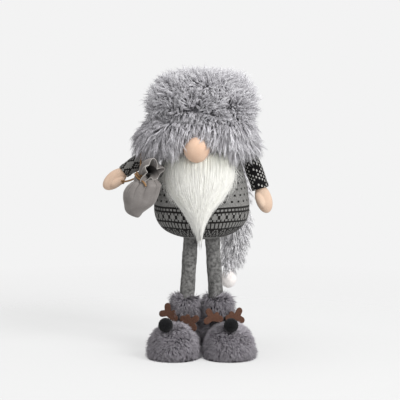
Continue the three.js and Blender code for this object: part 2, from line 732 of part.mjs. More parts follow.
// A ring square to a curve, with its own widths across and from front to back.
function ringOn(curve, t, across, deep, count) {
  const centre = curve.getPointAt(t);
  const along = curve.getTangentAt(t);
  const sideways = point(0, 1, 0).cross(along).normalize();
  return ringOf(count, (a) =>
    centre.clone().addScaledVector(sideways, across * Math.cos(a)).add(point(0, deep * Math.sin(a), 0)),
  );
}

function sleeve(side, bend, endRadius) {
  const line = armLine(side, bend);
  const hem = 1 - SLEEVE_HEM_LENGTH / SLEEVE_LENGTH;
  const step = SLEEVE_HEM_STEP;
  const stations = [[0.12, 0], [0.35, 0], [0.6, 0], [hem - 0.02, 0], [hem + 0.02, step], [1, step]];
  const rings = stations.map(([t, over]) => {
    const swell = SLEEVE_SWELL * Math.sin(Math.PI * t);
    const radius = THREE.MathUtils.lerp(SLEEVE_SHOULDER_RADIUS, endRadius - step, t) + swell + over;
    return ringOn(line, t, radius, radius, 16);
  });
  const shoulder = new THREE.SphereGeometry(SLEEVE_SHOULDER_RADIUS, 16, 10).rotateX(Math.PI / 2);
  const full = join(skin(withEnds(rings)), shoulder);
  return cut(full, wristPlug(side, bend, SEAT), armWire(side, bend, SEAT));
}

// The stub of the hand that is sewn into the sleeve's open end, before it is put there.
const wristStub = (grow = 0) => cylinder(WRIST_RADIUS + grow, -WRIST_IN_HAND, WRIST_DEPTH + grow, 14);

function wristPlug(side, bend, grow = 0) {
  return atSleeveEnd(side, bend, wristStub(grow));
}

// Puts a form whose -Z runs on from the sleeve at the sleeve's end.
function atSleeveEnd(side, bend, geometry) {
  return geometry.rotateY(side * radians(bend)).translate(0, 0, -SLEEVE_LENGTH);
}

function armWire(side, bend, grow = 0) {
  const line = armLine(side, bend);
  const wrist = line.getPointAt(1);
  const intoHand = point(0, 0, -1).applyAxisAngle(point(0, 1, 0), side * radians(bend));
  const stations = [0.05, 0.35, 0.7, 1].map((t) => line.getPointAt(t));
  stations[0].addScaledVector(line.getTangentAt(0), -grow);
  stations.push(wrist.clone().addScaledVector(intoHand, HAND_LENGTH / 2 + grow));
  return tube(new THREE.CatmullRomCurve3(stations), ARM_WIRE_RADIUS + grow, 8, 10);
}

// Mitten: a stuffed paddle with a thumb that lies over the palm, in front of its inner edge.
function hand(side, bend) {
  const full = HAND_LENGTH + HAND_END_LOST;
  const paddle = ellipsoid(HAND_WIDTH, HAND_DEPTH, full, point(0, 0, full / 2 - HAND_LENGTH), 16, 12);
  const stand = HAND_DEPTH / 2 - THUMB_RADIUS * 0.35;
  const thumb = new THREE.SphereGeometry(1, 10, 8)
    .rotateX(Math.PI / 2)
    .scale(THUMB_RADIUS, THUMB_RADIUS, THUMB_LENGTH / 2)
    .rotateY(side * radians(-10))
    .translate(0, -stand, -HAND_LENGTH * 0.42)
    .rotateZ(-side * radians(THUMB_TURN));
  const open = join(cut(paddle, above(-SEAT)), thumb, wristStub());
  return cut(atSleeveEnd(side, bend, open), armWire(side, bend, SEAT));
}

// Sack, in its own frame: the origin is the middle of its neck. The cloth runs from the flat bottom up
// through the neck, flares into the open mouth and returns inside it.
function sack() {
  const neck = SACK_NECK_RADIUS;
  const flat = SACK_DEPTH / SACK_WIDTH;
  // Height above the neck, shift to the side, radius, flatness, depth of pleats, share of the tilt.
  const pouch = [
    ...POUCH_RINGS.map(([down, x, wide, pleat, tilt]) => {
      const roundness = THREE.MathUtils.lerp(flat, 1, tilt);
      return [-SACK_DROP * down, x, (SACK_WIDTH / 2) * wide, roundness, pleat, tilt];
    }),
    [-NECK_BELOW, 0, neck, 1, 0.03, 1],
    [NECK_ABOVE, 0, neck, 1, 0.03, 1],
  ];
  // The mouth leans over from the neck. Share of its line, radius and depth of folds, out and back in.
  const wide = SACK_MOUTH_RADIUS;
  const mouth = [
    [0.22, neck * 1.45, 0.05],
    [0.5, wide * 0.6, 0.14],
    [0.78, wide * 0.86, 0.26],
    [1.0, wide, 0.34],
    [0.97, wide - SACK_CLOTH, 0.35],
    [0.76, wide * 0.86 - SACK_CLOTH, 0.27],
    [0.5, wide * 0.56 - SACK_CLOTH, 0.12],
    [0.32, neck * 0.6, 0],
  ];
  const long = SACK_MOUTH_LENGTH;
  const lean = new THREE.CubicBezierCurve3(
    point(0, 0, NECK_ABOVE),
    point(0, -0.5, long * 0.43),
    point(long * 0.18, -4, long * 0.64),
    point(long * 0.41, -11.6, long),
  );
  const tilted = (place, share) => place.applyAxisAngle(point(0, 1, 0), radians(NECK_TILT) * share);
  const around = 36;
  const rings = pouch.map(([z, x, radius, deep, pleat, tilt]) =>
    ringOf(around, (a) => {
      const gathered = radius * (1 + pleat * Math.cos(SACK_PLEATS * a));
      return tilted(point(x + gathered * Math.cos(a), gathered * deep * Math.sin(a), z), tilt);
    }),
  );
  for (const [t, radius, fold] of mouth) {
    const centre = lean.getPoint(t);
    const along = lean.getTangent(t);
    const sideways = point(0, 1, 0).cross(along).normalize();
    const forward = along.clone().cross(sideways);
    rings.push(
      ringOf(around, (a) => {
        const folded = radius * (1 + fold * Math.cos(MOUTH_FOLDS * a + radians(MOUTH_FOLD_TURN)));
        const rim = centre.clone().addScaledVector(sideways, folded * Math.cos(a));
        return tilted(rim.addScaledVector(forward, folded * Math.sin(a)), 1);
      }),
    );
  }
  return skin(withEnds(rings));
}

// The twine wound round the tilted neck, one unbroken tube that ends in a short tail hanging in front.
function windingLine() {
  const radius = SACK_NECK_RADIUS * 1.05 + SEAT + TWINE_DIAMETER / 2;
  const perTurn = 16;
  const count = perTurn * WINDING_TURNS;
  const height = WINDING_PITCH * WINDING_TURNS;
  const points = Array.from({ length: count + 1 }, (_, i) => {
    const a = -Math.PI / 2 + (2 * Math.PI * i) / perTurn;
    const z = NECK_ABOVE - TWINE_DIAMETER / 2 - (height * i) / count;
    const upright = point(radius * Math.cos(a), radius * Math.sin(a), z);
    return upright.applyAxisAngle(point(0, 1, 0), radians(NECK_TILT));
  });
  const last = points.at(-1);
  return [...points, ...WINDING_TAIL.map(([x, y, z]) => point(last.x + x, last.y + y, last.z + z))];
}

// The least distance between stretches of the winding that are not neighbours, less one diameter.
function leastGap(points) {
  let least = Infinity;
  points.forEach((p, i) =>
    points.slice(i + 8).forEach((q) => {
      least = Math.min(least, p.distanceTo(q) - TWINE_DIAMETER);
    }),
  );
  return least;
}

function neckWinding() {
  const points = windingLine();
  console.log("neck winding, least gap to itself:", leastGap(points).toFixed(2), "mm");
  return tube(new THREE.CatmullRomCurve3(points), TWINE_DIAMETER / 2, 6, points.length);
}

// The twine sling, in the gnome's frame with heights above the body's underside. It starts on the sleeve
// at the shoulder, runs down behind the sack's neck and on to the hand.
const SLING_ROUTE = [
  [-101.8, 5, 148.4],
  [-101.9, 1, 149.9],
  [-102, -3, 150.2],
  [-102, -8, 149],
  [-102, -14.2, 144.6],
  [-102, -22, 137.8],
  [-102, -30, 130.8],
  [-102, -38, 123.6],
  [-101.9, -43.6, 118.2],
  [-101.9, -47.2, 114.4],
  [-103.8, -48.8, 111],
  [-108.2, -47.2, 108],
  [-113.6, -42.6, 105.2],
  [-119, -36.4, 102.6],
  [-124.4, -29.8, 100.6],
  [-130, -23.6, 99.2],
];

// The knot that ties the sling to the palm.
const KNOT_PLACE = [-132.6, -20.9, 98.6];

function handKnot() {
  const [x, y, z] = KNOT_PLACE;
  return ellipsoid(KNOT_WIDTH, KNOT_WIDTH * 0.8, KNOT_WIDTH, point(x, y, z + bodyBottom), 14, 10);
}

function slingLine() {
  return new THREE.CatmullRomCurve3(SLING_ROUTE.map(([x, y, z]) => point(x, y, z + bodyBottom)));
}

function build() {
  const gnome = new THREE.Group();
  const add = (parent, ...pieces) => parent.add(...pieces);

  add(
    gnome,
    piece("torso", bodyShell(), COLOURS.bodyKnit),
    piece("hip_board", hipBoard(), COLOURS.board, 0.7),
    piece("nose", nose(), COLOURS.nose, 0.8),
    piece("beard", beard(), COLOURS.beard, 0.7),
    piece("hat_crown", hatCrown(), COLOURS.hatFur),
    piece("hat_filling", hatFilling(), COLOURS.filling),
    piece("hat_roll", hatRoll(), COLOURS.hatFur),
    piece("hat_tail", hatTail(), COLOURS.hatFur),
  );

  const ball = piece("tail_ball", tailBall(), COLOURS.ball);
  ball.position.copy(tailTip).add(point(0, 0, -SEAT - BALL_THREAD_RADIUS));
  add(gnome, ball);

  for (const [side, name] of [[-1, "right"], [1, "left"]]) {
    add(
      gnome,
      piece(`${name}_leg`, legSleeve(side), COLOURS.legKnit),
      piece(`${name}_leg_rod`, legRod(side), COLOURS.steel, 0.4, 0.9),
    );
    const right = side < 0;
    const outerRise = right ? RIGHT_OUTER_ANTLER_RISE : LEFT_OUTER_ANTLER_RISE;
    const innerRise = right ? RIGHT_INNER_ANTLER_RISE : LEFT_INNER_ANTLER_RISE;
    const pompomTurn = right ? RIGHT_POMPOM_TURN : LEFT_POMPOM_TURN;
    const boot = new THREE.Group();
    boot.position.set((side * ANKLE_SPACING) / 2, 0, 0);
    boot.rotation.z = side * radians(BOOT_SPLAY);
    add(
      boot,
      piece(`${name}_boot_sole`, bootSole(), COLOURS.sole, 0.8),
      piece(`${name}_boot_upper`, bootUpper(), COLOURS.bootFur),
      piece(`${name}_boot_roll`, ankleRoll(side), COLOURS.bootFur),
      piece(`${name}_boot_pellet_bag`, pelletBag(), COLOURS.sand),
      piece(`${name}_boot_pompom`, bootPompom(pompomTurn), COLOURS.pompom),
      piece(`${name}_boot_outer_antler`, antler(side, side, outerRise), COLOURS.felt),
      piece(`${name}_boot_inner_antler`, antler(side, -side, innerRise), COLOURS.felt),
    );
    add(gnome, boot);

    const droop = right ? RIGHT_ARM_DROOP : LEFT_ARM_DROOP;
    const bend = right ? RIGHT_ARM_BEND : LEFT_ARM_BEND;
    const endRadius = right ? RIGHT_SLEEVE_END_RADIUS : LEFT_SLEEVE_END_RADIUS;
    const arm = new THREE.Group();
    arm.position.set(side * (SHOULDER_RADIUS + SEAT + SLEEVE_SHOULDER_RADIUS), 0, shoulderZ);
    arm.rotation.set(-radians(ARM_FORWARD_LEAN), -side * radians(90 - droop), 0, "YXZ");
    add(
      arm,
      piece(`${name}_sleeve`, sleeve(side, bend, endRadius), COLOURS.bodyKnit),
      piece(`${name}_hand`, hand(side, bend), COLOURS.skin, 0.85),
      piece(`${name}_arm_wire`, armWire(side, bend), COLOURS.steel, 0.4, 0.9),
    );
    add(gnome, arm);
  }

  const load = new THREE.Group();
  load.position.set(NECK_PLACE[0], NECK_PLACE[1], NECK_PLACE[2] + bodyBottom);
  add(load, piece("sack", sack(), COLOURS.velvet), piece("neck_winding", neckWinding(), COLOURS.twine));
  add(gnome, load);
  add(
    gnome,
    piece("twine_sling", tube(slingLine(), TWINE_DIAMETER / 2, 8, 34), COLOURS.twine),
    piece("hand_knot", handKnot(), COLOURS.twine),
  );

  const outline = new THREE.Box3().setFromObject(gnome, true);
  const middle = outline.getCenter(point(0, 0, 0));
  gnome.position.set(-middle.x, -middle.y, -outline.min.z);
  return gnome;
}

const root = new THREE.Group();
root.add(build());

export default root;
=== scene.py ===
# %% [markdown]
# # A Christmas gnome in fur, knit and velvet
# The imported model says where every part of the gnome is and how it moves. This lesson gives those
# parts their real surfaces: long wavy fur, a straight beard, patterned knit, velvet, felt and twine.
# We load the model first and keep its box, because the finish may not change the object's size.

import bpy
import numpy as np
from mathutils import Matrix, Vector


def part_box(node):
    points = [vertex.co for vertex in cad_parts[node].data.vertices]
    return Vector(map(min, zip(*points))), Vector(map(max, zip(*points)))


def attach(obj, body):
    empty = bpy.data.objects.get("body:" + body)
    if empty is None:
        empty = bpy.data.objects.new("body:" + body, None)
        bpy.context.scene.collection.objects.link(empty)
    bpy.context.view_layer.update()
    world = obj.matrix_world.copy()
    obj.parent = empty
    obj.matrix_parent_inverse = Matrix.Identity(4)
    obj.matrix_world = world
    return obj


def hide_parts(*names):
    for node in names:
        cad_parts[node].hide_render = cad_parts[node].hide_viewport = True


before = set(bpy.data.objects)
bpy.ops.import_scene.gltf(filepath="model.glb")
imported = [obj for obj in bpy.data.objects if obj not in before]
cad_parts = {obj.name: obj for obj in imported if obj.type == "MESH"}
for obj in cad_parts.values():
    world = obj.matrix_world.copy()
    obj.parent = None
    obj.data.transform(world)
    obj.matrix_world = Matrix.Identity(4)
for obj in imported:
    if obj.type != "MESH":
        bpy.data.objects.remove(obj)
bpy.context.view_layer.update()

# %% [markdown]
# ## Sizes that the whole scene shares
# The body is a turned form, so the middle of its box is the gnome's upright axis. Most pieces are
# placed from that axis and from the body's underside. Lengths are metres, and MM turns a
# millimetre into one.

# %% The upright axis and the main heights
MM = 0.001


def corners_of(node):
    """Lowest and highest corner of a node, as two arrays."""
    return [np.array(corner, float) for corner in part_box(node)]


torso_low, torso_high = corners_of("torso")
AXIS = np.array([*((torso_low + torso_high) / 2)[:2], 0.0])
BODY_BOTTOM = torso_low[2]
BODY_HEIGHT = torso_high[2] - torso_low[2]
BELLY_RADIUS = (torso_high[0] - torso_low[0]) / 2
CREASE_RISE = 196 * MM
CREASE_Z = BODY_BOTTOM + CREASE_RISE
print("axis", AXIS.round(4), "underside", round(BODY_BOTTOM, 4), "belly", round(BELLY_RADIUS, 4))

# %% [markdown]
# ## Camera
# The photograph was taken from a little above the gnome's middle with a long lens. The lens follows
# from the distance and from the width of what the frame shows at the gnome.

# %% Camera
CAMERA_DISTANCE = 2.4
CAMERA_RISE = np.radians(5)
FRAME_WIDTH = 0.6824
AIM_SIDE = -2.6 * MM
AIM_HEIGHT = 264 * MM
SENSOR = 36.0

camera_data = bpy.data.cameras.new("studio_camera")
camera_data.sensor_width = SENSOR
camera_data.lens = SENSOR * CAMERA_DISTANCE / FRAME_WIDTH
camera_data.clip_end = 20
camera = bpy.data.objects.new("studio_camera", camera_data)
aim = AXIS + [AIM_SIDE, 0, AIM_HEIGHT]
camera.location = aim + CAMERA_DISTANCE * np.array([0, -np.cos(CAMERA_RISE), np.sin(CAMERA_RISE)])
camera.rotation_euler = (np.pi / 2 - CAMERA_RISE, 0, 0)
bpy.context.scene.collection.objects.link(camera)
bpy.context.scene.camera = camera
bpy.context.scene.view_settings.view_transform = "Standard"
print("lens", round(camera_data.lens, 1), "mm")

# %% [markdown]
# ## Lines and meshes from whole arrays
# Every new surface here is a grid of points worked out at once. A cloth form is a stack of rings, a
# rope is a section carried along a line, and a strand of fur is a very thin tapering rope. These
# helpers turn such arrays into closed Blender meshes whose faces point outwards.


# %% Helpers for lines
def unit(vectors):
    """Each vector divided by its own length."""
    return vectors / np.maximum(np.linalg.norm(vectors, axis=-1, keepdims=True), 1e-12)


def angles_round(count):
    """Angles that divide a full turn evenly."""
    return 2 * np.pi * np.arange(count) / count

def bezier(start, first, second, end, count=24):
    """Cubic curve: the controls weighted by (1-t)^3, 3t(1-t)^2, 3t^2(1-t) and t^3."""
    t = np.linspace(0, 1, count)[:, None]
    a, b, c, d = (np.array(p, float) for p in (start, first, second, end))
    return (1 - t) ** 3 * a + 3 * t * (1 - t) ** 2 * b + 3 * t * t * (1 - t) * c + t**3 * d


def smooth(points, count):
    """A curve through rows of numbers: a cubic between two rows, with slopes from row to row."""
    points = np.array(points, float)
    slopes = np.gradient(points, axis=0)
    t = np.linspace(0, len(points) - 1, count)
    i = np.minimum(t.astype(int), len(points) - 2)
    f = (t - i)[:, None]
    return (
        (2 * f**3 - 3 * f**2 + 1) * points[i]
        + (f**3 - 2 * f**2 + f) * slopes[i]
        + (3 * f**2 - 2 * f**3) * points[i + 1]
        + (f**3 - f**2) * slopes[i + 1]
    )


def lengths_along(line):
    """How far along a line each of its points lies."""
    steps = np.linalg.norm(np.diff(line, axis=0), axis=1)
    return np.concatenate([[0], np.cumsum(steps)])


def evenly(line, count):
    """The same line with its points spaced evenly by length."""
    gone = lengths_along(line)
    at = np.linspace(0, gone[-1], count)
    return np.stack([np.interp(at, gone, line[:, k]) for k in range(line.shape[1])], axis=1)


# %% [markdown]
# A mesh needs its points, and the corners of each face. For rings both follow from the row and the
# place in it. The sign of the volume tells whether the faces look inwards and have to be turned.

# %% Meshes from rings
def new_piece(name, points, faces, material, uv=None, uv_name="UVMap", **values):
    """A mesh from whole arrays: faces are index arrays of 3 or 4 columns, uv is one pair for each
    face corner, and values are numbers kept at the points for the material to read."""
    mesh = bpy.data.meshes.new(name)
    mesh.vertices.add(len(points))
    mesh.vertices.foreach_set("co", np.ascontiguousarray(points, np.float32).ravel())
    corners = np.concatenate([f.ravel() for f in faces]).astype(np.int32)
    sizes = np.concatenate([np.full(len(f), f.shape[1]) for f in faces])
    starts = np.concatenate([[0], np.cumsum(sizes)[:-1]]).astype(np.int32)
    mesh.loops.add(len(corners))
    mesh.loops.foreach_set("vertex_index", corners)
    mesh.polygons.add(len(sizes))
    mesh.polygons.foreach_set("loop_start", starts)
    if uv is not None:
        layer = mesh.uv_layers.new(name=uv_name)
        layer.data.foreach_set("uv", np.concatenate(uv).astype(np.float32).ravel())
    for title, numbers in values.items():
        attribute = mesh.attributes.new(title, "FLOAT", "POINT")
        attribute.data.foreach_set("value", np.ascontiguousarray(numbers, np.float32))
    mesh.update(calc_edges=True)
    mesh.shade_smooth()
    mesh.materials.append(material)
    piece = bpy.data.objects.new(name, mesh)
    bpy.context.scene.collection.objects.link(piece)
    return piece


def volume_of(points, faces):
    """Signed volume inside a closed mesh: a sixth of the sum of the corners' triple products."""
    total = 0.0
    for f in faces:
        for k in range(1, f.shape[1] - 1):
            a, b, c = points[f[:, 0]], points[f[:, k]], points[f[:, k + 1]]
            total += (a * np.cross(b, c)).sum() / 6
    return total


def skin(name, rings, material, stitches=(1, 1), along=None, loop=False):
    """A closed skin over rings of points, shape (rows, around, 3). The ends are closed with fans, or
    with loop the last row joins the first. The UV map counts round and along, times stitches."""
    rows, around = rings.shape[:2]
    points = rings.reshape(-1, 3)
    along = np.linspace(0, 1, rows + loop) if along is None else np.array(along)
    i, j = (a.ravel() for a in np.indices((rows - 1 + loop, around)))
    below, beside = (i + 1) % rows, (j + 1) % around
    corners = [(i, j), (i, beside), (below, beside), (below, j)]
    faces = [np.stack([a * around + b for a, b in corners], axis=1)]
    u = np.stack([j, j + 1, j + 1, j], axis=1) / around
    v = np.stack([along[i], along[i], along[i + 1], along[i + 1]], axis=1)
    uv = [np.stack([u, v], axis=-1).reshape(-1, 2)]
    if not loop:
        j = np.arange(around)
        points = np.concatenate([points, rings[:1].mean(1), rings[-1:].mean(1)])
        last = (rows - 1) * around
        faces.append(np.stack([(j + 1) % around, j, np.full(around, len(points) - 2)], axis=1))
        faces.append(np.stack([last + j, last + (j + 1) % around, np.full(around, len(points) - 1)], axis=1))
        for side, end in (((j + 1, j), along[0]), ((j, j + 1), along[-1])):
            u = np.stack([*side, j + 0.5], axis=1) / around
            uv.append(np.stack([u, np.full(u.shape, end)], axis=-1).reshape(-1, 2))
    if volume_of(points, faces) < 0:
        uv = [pairs.reshape(*f.shape, 2)[:, ::-1].reshape(-1, 2) for pairs, f in zip(uv, faces)]
        faces = [f[:, ::-1] for f in faces]
    uv = [pairs * np.array(stitches) for pairs in uv]
    return new_piece(name, points, faces, material, uv)


# %% [markdown]
# A rope or a strand is a line with rings round it. Forms that overlap, such as a palm and its thumb,
# are remeshed with small voxels, which leaves one closed skin, as sewing does.

# %% Rings along lines, and forms fused into one skin
def rings_round(paths, radii, sides, upright):
    """Rings of points round each path, shape (paths, steps, sides, 3). A ring's two axes are the
    tangent crossed with the path's upright vector, and that crossed with the tangent."""
    tangent = unit(np.gradient(paths, axis=1))
    side = unit(np.cross(tangent, upright[:, None, :]))
    up = np.cross(side, tangent)
    angle = angles_round(sides)
    across = side[:, :, None, :] * np.cos(angle)[:, None] + up[:, :, None, :] * np.sin(angle)[:, None]
    return paths[:, :, None, :] + radii[..., None] * across


def fused(piece, voxel, smoothing=4):
    """The piece with its overlapping forms grown into one skin by a voxel remesh, then smoothed."""
    remesh = piece.modifiers.new("fuse", "REMESH")
    remesh.mode, remesh.voxel_size, remesh.use_smooth_shade = "VOXEL", voxel, True
    relax = piece.modifiers.new("relax", "SMOOTH")
    relax.factor, relax.iterations = 0.6, smoothing
    depsgraph = bpy.context.evaluated_depsgraph_get()
    mesh = bpy.data.meshes.new_from_object(piece.evaluated_get(depsgraph))
    piece.modifiers.clear()
    piece.data = mesh
    mesh.shade_smooth()
    return piece


def joined(name, parts):
    """Several pieces as one object with one mesh."""
    with bpy.context.temp_override(active_object=parts[0], selected_editable_objects=parts):
        bpy.ops.object.join()
    parts[0].name = name
    parts[0].data.name = name
    return parts[0]


# %% [markdown]
# ## Sums inside a material
# A knitted chart is arithmetic: which stitch, which row, and is that stitch dark? Material nodes can
# do such sums, and a small class lets us write them as ordinary formulas.


# %% Numbers in a material
class Sum:
    """A number in a material. Adding, multiplying and so on make its Math nodes."""

    def __init__(self, tree, socket):
        self.tree, self.socket = tree, socket

    def math(self, operation, *others):
        node = self.tree.nodes.new("ShaderNodeMath")
        node.operation = operation
        for place, value in enumerate([self, *others]):
            if isinstance(value, Sum):
                self.tree.links.new(value.socket, node.inputs[place])
            else:
                node.inputs[place].default_value = float(value)
        return Sum(self.tree, node.outputs[0])

    def __add__(self, other):
        return self.math("ADD", other)

    def __sub__(self, other):
        return self.math("SUBTRACT", other)

    def __mul__(self, other):
        return self.math("MULTIPLY", other)

    def within(self, low, high):
        """1 where low <= number < high, and 0 elsewhere."""
        return self.math("LESS_THAN", high) * self.math("LESS_THAN", low).math("SUBTRACT", 1).math("ABSOLUTE")

    def is_at(self, value):
        """1 where a whole number has that value."""
        return self.math("COMPARE", value, 0.25)

    def wrapped(self, period):
        """The whole number left after taking away as many periods as fit."""
        return self.math("FLOORED_MODULO", period).math("ADD", 0.01).math("FLOOR")

    def either(self, other):
        return self.math("MAXIMUM", other)


# %% [markdown]
# Cloth is rough, with little shine and a faint sheen from its fibres. One function sets that up, and
# each finish adds its own noise, colours and bumps.

# %% Colours, textures and bumps
def linear(red, green, blue):
    """A screen colour of 0 to 255 as the linear colour that a material takes."""
    c = np.array([red, green, blue]) / 255
    c = np.where(c <= 0.04045, c / 12.92, ((c + 0.055) / 1.055) ** 2.4)
    return (*c, 1.0)


def new_material(name, roughness=0.85, sheen=0.0, sheen_tint=(1, 1, 1, 1), specular=0.3):
    """A material, its node tree and its main shader, with the uniform numbers set on the shader."""
    material = bpy.data.materials.new(name)
    material.use_nodes = True
    tree = material.node_tree
    shader = tree.nodes["Principled BSDF"]
    shader.inputs["Roughness"].default_value = roughness
    shader.inputs["Specular IOR Level"].default_value = specular
    shader.inputs["Sheen Weight"].default_value = sheen
    shader.inputs["Sheen Roughness"].default_value = 0.4
    shader.inputs["Sheen Tint"].default_value = sheen_tint
    return material, tree, shader


def mixed(tree, share, first, second):
    """The first colour turning into the second as share goes from 0 to 1."""
    node = tree.nodes.new("ShaderNodeMix")
    node.data_type = "RGBA"
    for place, value in ((0, share), (6, first), (7, second)):
        if isinstance(value, Sum):
            tree.links.new(value.socket, node.inputs[place])
        elif isinstance(value, bpy.types.NodeSocket):
            tree.links.new(value, node.inputs[place])
        else:
            node.inputs[place].default_value = value
    return node.outputs[2]


def noise(tree, scale, detail=3, place=None):
    """Cloudy numbers between 0 and 1 in the object's own space."""
    node = tree.nodes.new("ShaderNodeTexNoise")
    node.inputs["Scale"].default_value = scale
    node.inputs["Detail"].default_value = detail
    if place is None:
        place = tree.nodes.new("ShaderNodeTexCoord").outputs["Object"]
    tree.links.new(place, node.inputs["Vector"])
    return Sum(tree, node.outputs["Fac"])


def spread_out(tree, value, low, high):
    """A number stretched so that low becomes 0 and high becomes 1, kept between them."""
    node = tree.nodes.new("ShaderNodeMapRange")
    tree.links.new(value.socket, node.inputs["Value"])
    node.inputs["From Min"].default_value = low
    node.inputs["From Max"].default_value = high
    return Sum(tree, node.outputs["Result"])


def kept(tree, name):
    """A number that the mesh keeps at its points."""
    node = tree.nodes.new("ShaderNodeAttribute")
    node.attribute_name = name
    return Sum(tree, node.outputs["Fac"])


def add_bump(tree, shader, height, distance, strength=1.0):
    """Lets a number push the surface in and out by at most the distance."""
    node = tree.nodes.new("ShaderNodeBump")
    node.inputs["Strength"].default_value = strength
    node.inputs["Distance"].default_value = distance
    tree.links.new(height.socket, node.inputs["Height"])
    tree.links.new(node.outputs["Normal"], shader.inputs["Normal"])

def clouded(tree, number, low, high, first, second):
    """The first colour turning into the second as a number goes from low to high."""
    return mixed(tree, spread_out(tree, number, low, high), first, second)

def paint(tree, shader, colour):
    """Gives the shader its colour."""
    tree.links.new(colour, shader.inputs["Base Color"])


# %% [markdown]
# ## Twine
# The sack hangs on jute twine: three plies twisted together. The whole rope is one tube whose section
# has three lobes and turns as it goes, so the lay is real geometry, and the fibres are a fine noise.


# %% Twine material and rope
def twine_material():
    """Straw brown in soft blotches, darker between the fibres."""
    material, tree, shader = new_material("jute_twine", roughness=0.9, sheen=0.2, specular=0.15)
    blotch = noise(tree, 900, 4)
    fibre = noise(tree, 2600, 2)
    base = clouded(tree, blotch, 0.3, 0.7, linear(150, 114, 76), linear(194, 156, 114))
    colour = clouded(tree, fibre, 0.35, 0.75, base, linear(120, 90, 60))
    paint(tree, shader, colour)
    add_bump(tree, shader, fibre, 0.3 * MM)
    return material


TWINE = twine_material()
TWINE_DIAMETER = 3.2 * MM
PLY_TURN = 9 * MM


def rope(name, line, material, upright, diameter=TWINE_DIAMETER, plies=3, sides=15):
    """A twisted rope: the section's radius is full on each ply and a quarter less between two, and the
    section turns once in each ply turn of length."""
    gone = lengths_along(line)
    turn = 2 * np.pi * gone / (PLY_TURN * plies / 3)
    angle = angles_round(sides)
    radius = diameter / 2 * (0.76 + 0.27 * np.abs(np.cos(plies / 2 * (angle[None, :] - turn[:, None]))))
    rings = rings_round(line[None], radius[None, :, :], sides, np.array([upright], float))[0]
    return skin(name, rings, material, stitches=(1, gone[-1] / PLY_TURN))


# %% [markdown]
# The sling leaves the sleeve at the shoulder, comes down to the sack's neck, passes behind it and is
# tied to the palm. It is short and nearly taut, so its route is a list of points, measured from the
# gnome's axis and the body's underside.

# %% Twine sling and the knot in the palm
SLING_ROUTE = [
    (-0.1018, 0.0050, 0.1484),
    (-0.1019, 0.0010, 0.1499),
    (-0.1020, -0.0030, 0.1502),
    (-0.1020, -0.0080, 0.1490),
    (-0.1020, -0.0142, 0.1446),
    (-0.1020, -0.0220, 0.1378),
    (-0.1020, -0.0300, 0.1308),
    (-0.1020, -0.0380, 0.1236),
    (-0.1019, -0.0436, 0.1182),
    (-0.1019, -0.0472, 0.1144),
    (-0.1038, -0.0488, 0.1110),
    (-0.1082, -0.0472, 0.1080),
    (-0.1136, -0.0426, 0.1052),
    (-0.1190, -0.0364, 0.1026),
    (-0.1244, -0.0298, 0.1006),
    (-0.1300, -0.0236, 0.0992),
]
sling_line = evenly(smooth(SLING_ROUTE, 200), 90) + AXIS + [0, 0, BODY_BOTTOM]
sling = rope("twine_sling_rope", sling_line, TWINE, upright=(0.35, 0.25, 0.9))
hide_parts("twine_sling")
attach(sling, "right_arm")

knot_low, knot_high = corners_of("hand_knot")
KNOT_CENTRE = (knot_low + knot_high) / 2
KNOT_SIZE = knot_high - knot_low


def knot_line(centre, size, count=150):
    """A trefoil: round and through itself twice while it goes three times up and down."""
    t = np.linspace(0, 1.94 * np.pi, count)
    x = (np.sin(t) + 2 * np.sin(2 * t)) / 3
    y = -np.sin(3 * t)
    z = (np.cos(t) - 2 * np.cos(2 * t)) / 3
    reach = (size - TWINE_DIAMETER * 0.62) / 2
    return centre + np.stack([x * reach[0], y * reach[1] * 0.9, z * reach[2]], axis=1)


knot = rope("hand_knot_twine", knot_line(KNOT_CENTRE, KNOT_SIZE), TWINE, (0.1, 1, 0.2), 0.62 * TWINE_DIAMETER)
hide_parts("hand_knot")
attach(knot, "right_arm")

# %% [markdown]
# ## Fur
# The hat, its tail and the boots are long-pile fur. Hair curves would render well but aren't meshes,
# so each strand is a thin three-sided tapering tube. Real fur stands in locks: strands whose tips
# gather in a point. A strand here follows its lock's line, which leaves the cloth near its normal
# and bends over towards the way the pile lies, with a wave in it.


# %% Where the roots go
def scattered(surface, count, rng, allowed=None):
    """Random places on a surface of two parameters, as many for each patch as it has area: places
    are drawn from eight times as many, with the patch's area as their weight."""
    u, v = rng.random((2, 8 * count))
    step = 1e-3
    point = surface(u, v)
    across = (surface(u + step, v) - point) / step
    along = (surface(u, np.minimum(v + step, 1)) - surface(u, np.maximum(v - step, 0))) / (2 * step)
    area = np.cross(across, along)
    weight = np.linalg.norm(area, axis=1)
    if allowed is not None:
        weight = weight * allowed(point, unit(area))
    chosen = rng.choice(len(u), count, replace=False, p=weight / weight.sum())
    return point[chosen], unit(area[chosen])


def nearest(points, centres):
    """For each point the index of its nearest centre, from |p|^2 - 2 p.c + |c|^2."""
    far = (centres**2).sum(1)[None, :] - 2 * points @ centres.T
    return far.argmin(1)


def ripple(points, rng, wavelength, waves=4):
    """Smooth random numbers from -1 to 1: the mean of a few sine waves that cross the space."""
    direction = unit(rng.normal(size=(waves, 3))) * 2 * np.pi / wavelength
    phase = rng.uniform(0, 2 * np.pi, waves)
    return np.sin(points @ direction.T + phase).mean(1) * 1.6


# %% [markdown]
# A simulation could bend the locks. Pile lies as it was combed, though, so a curve with a start
# angle, an end angle and a wave is enough.

# %% The lines of locks and strands
def lay_of(normals, comb, turn):
    """The comb's direction along the surface, turned about the normal by an angle for each lock."""
    flat = unit(comb - normals * (normals * comb).sum(1, keepdims=True) + 1e-6)
    return flat * np.cos(turn)[:, None] + np.cross(normals, flat) * np.sin(turn)[:, None]


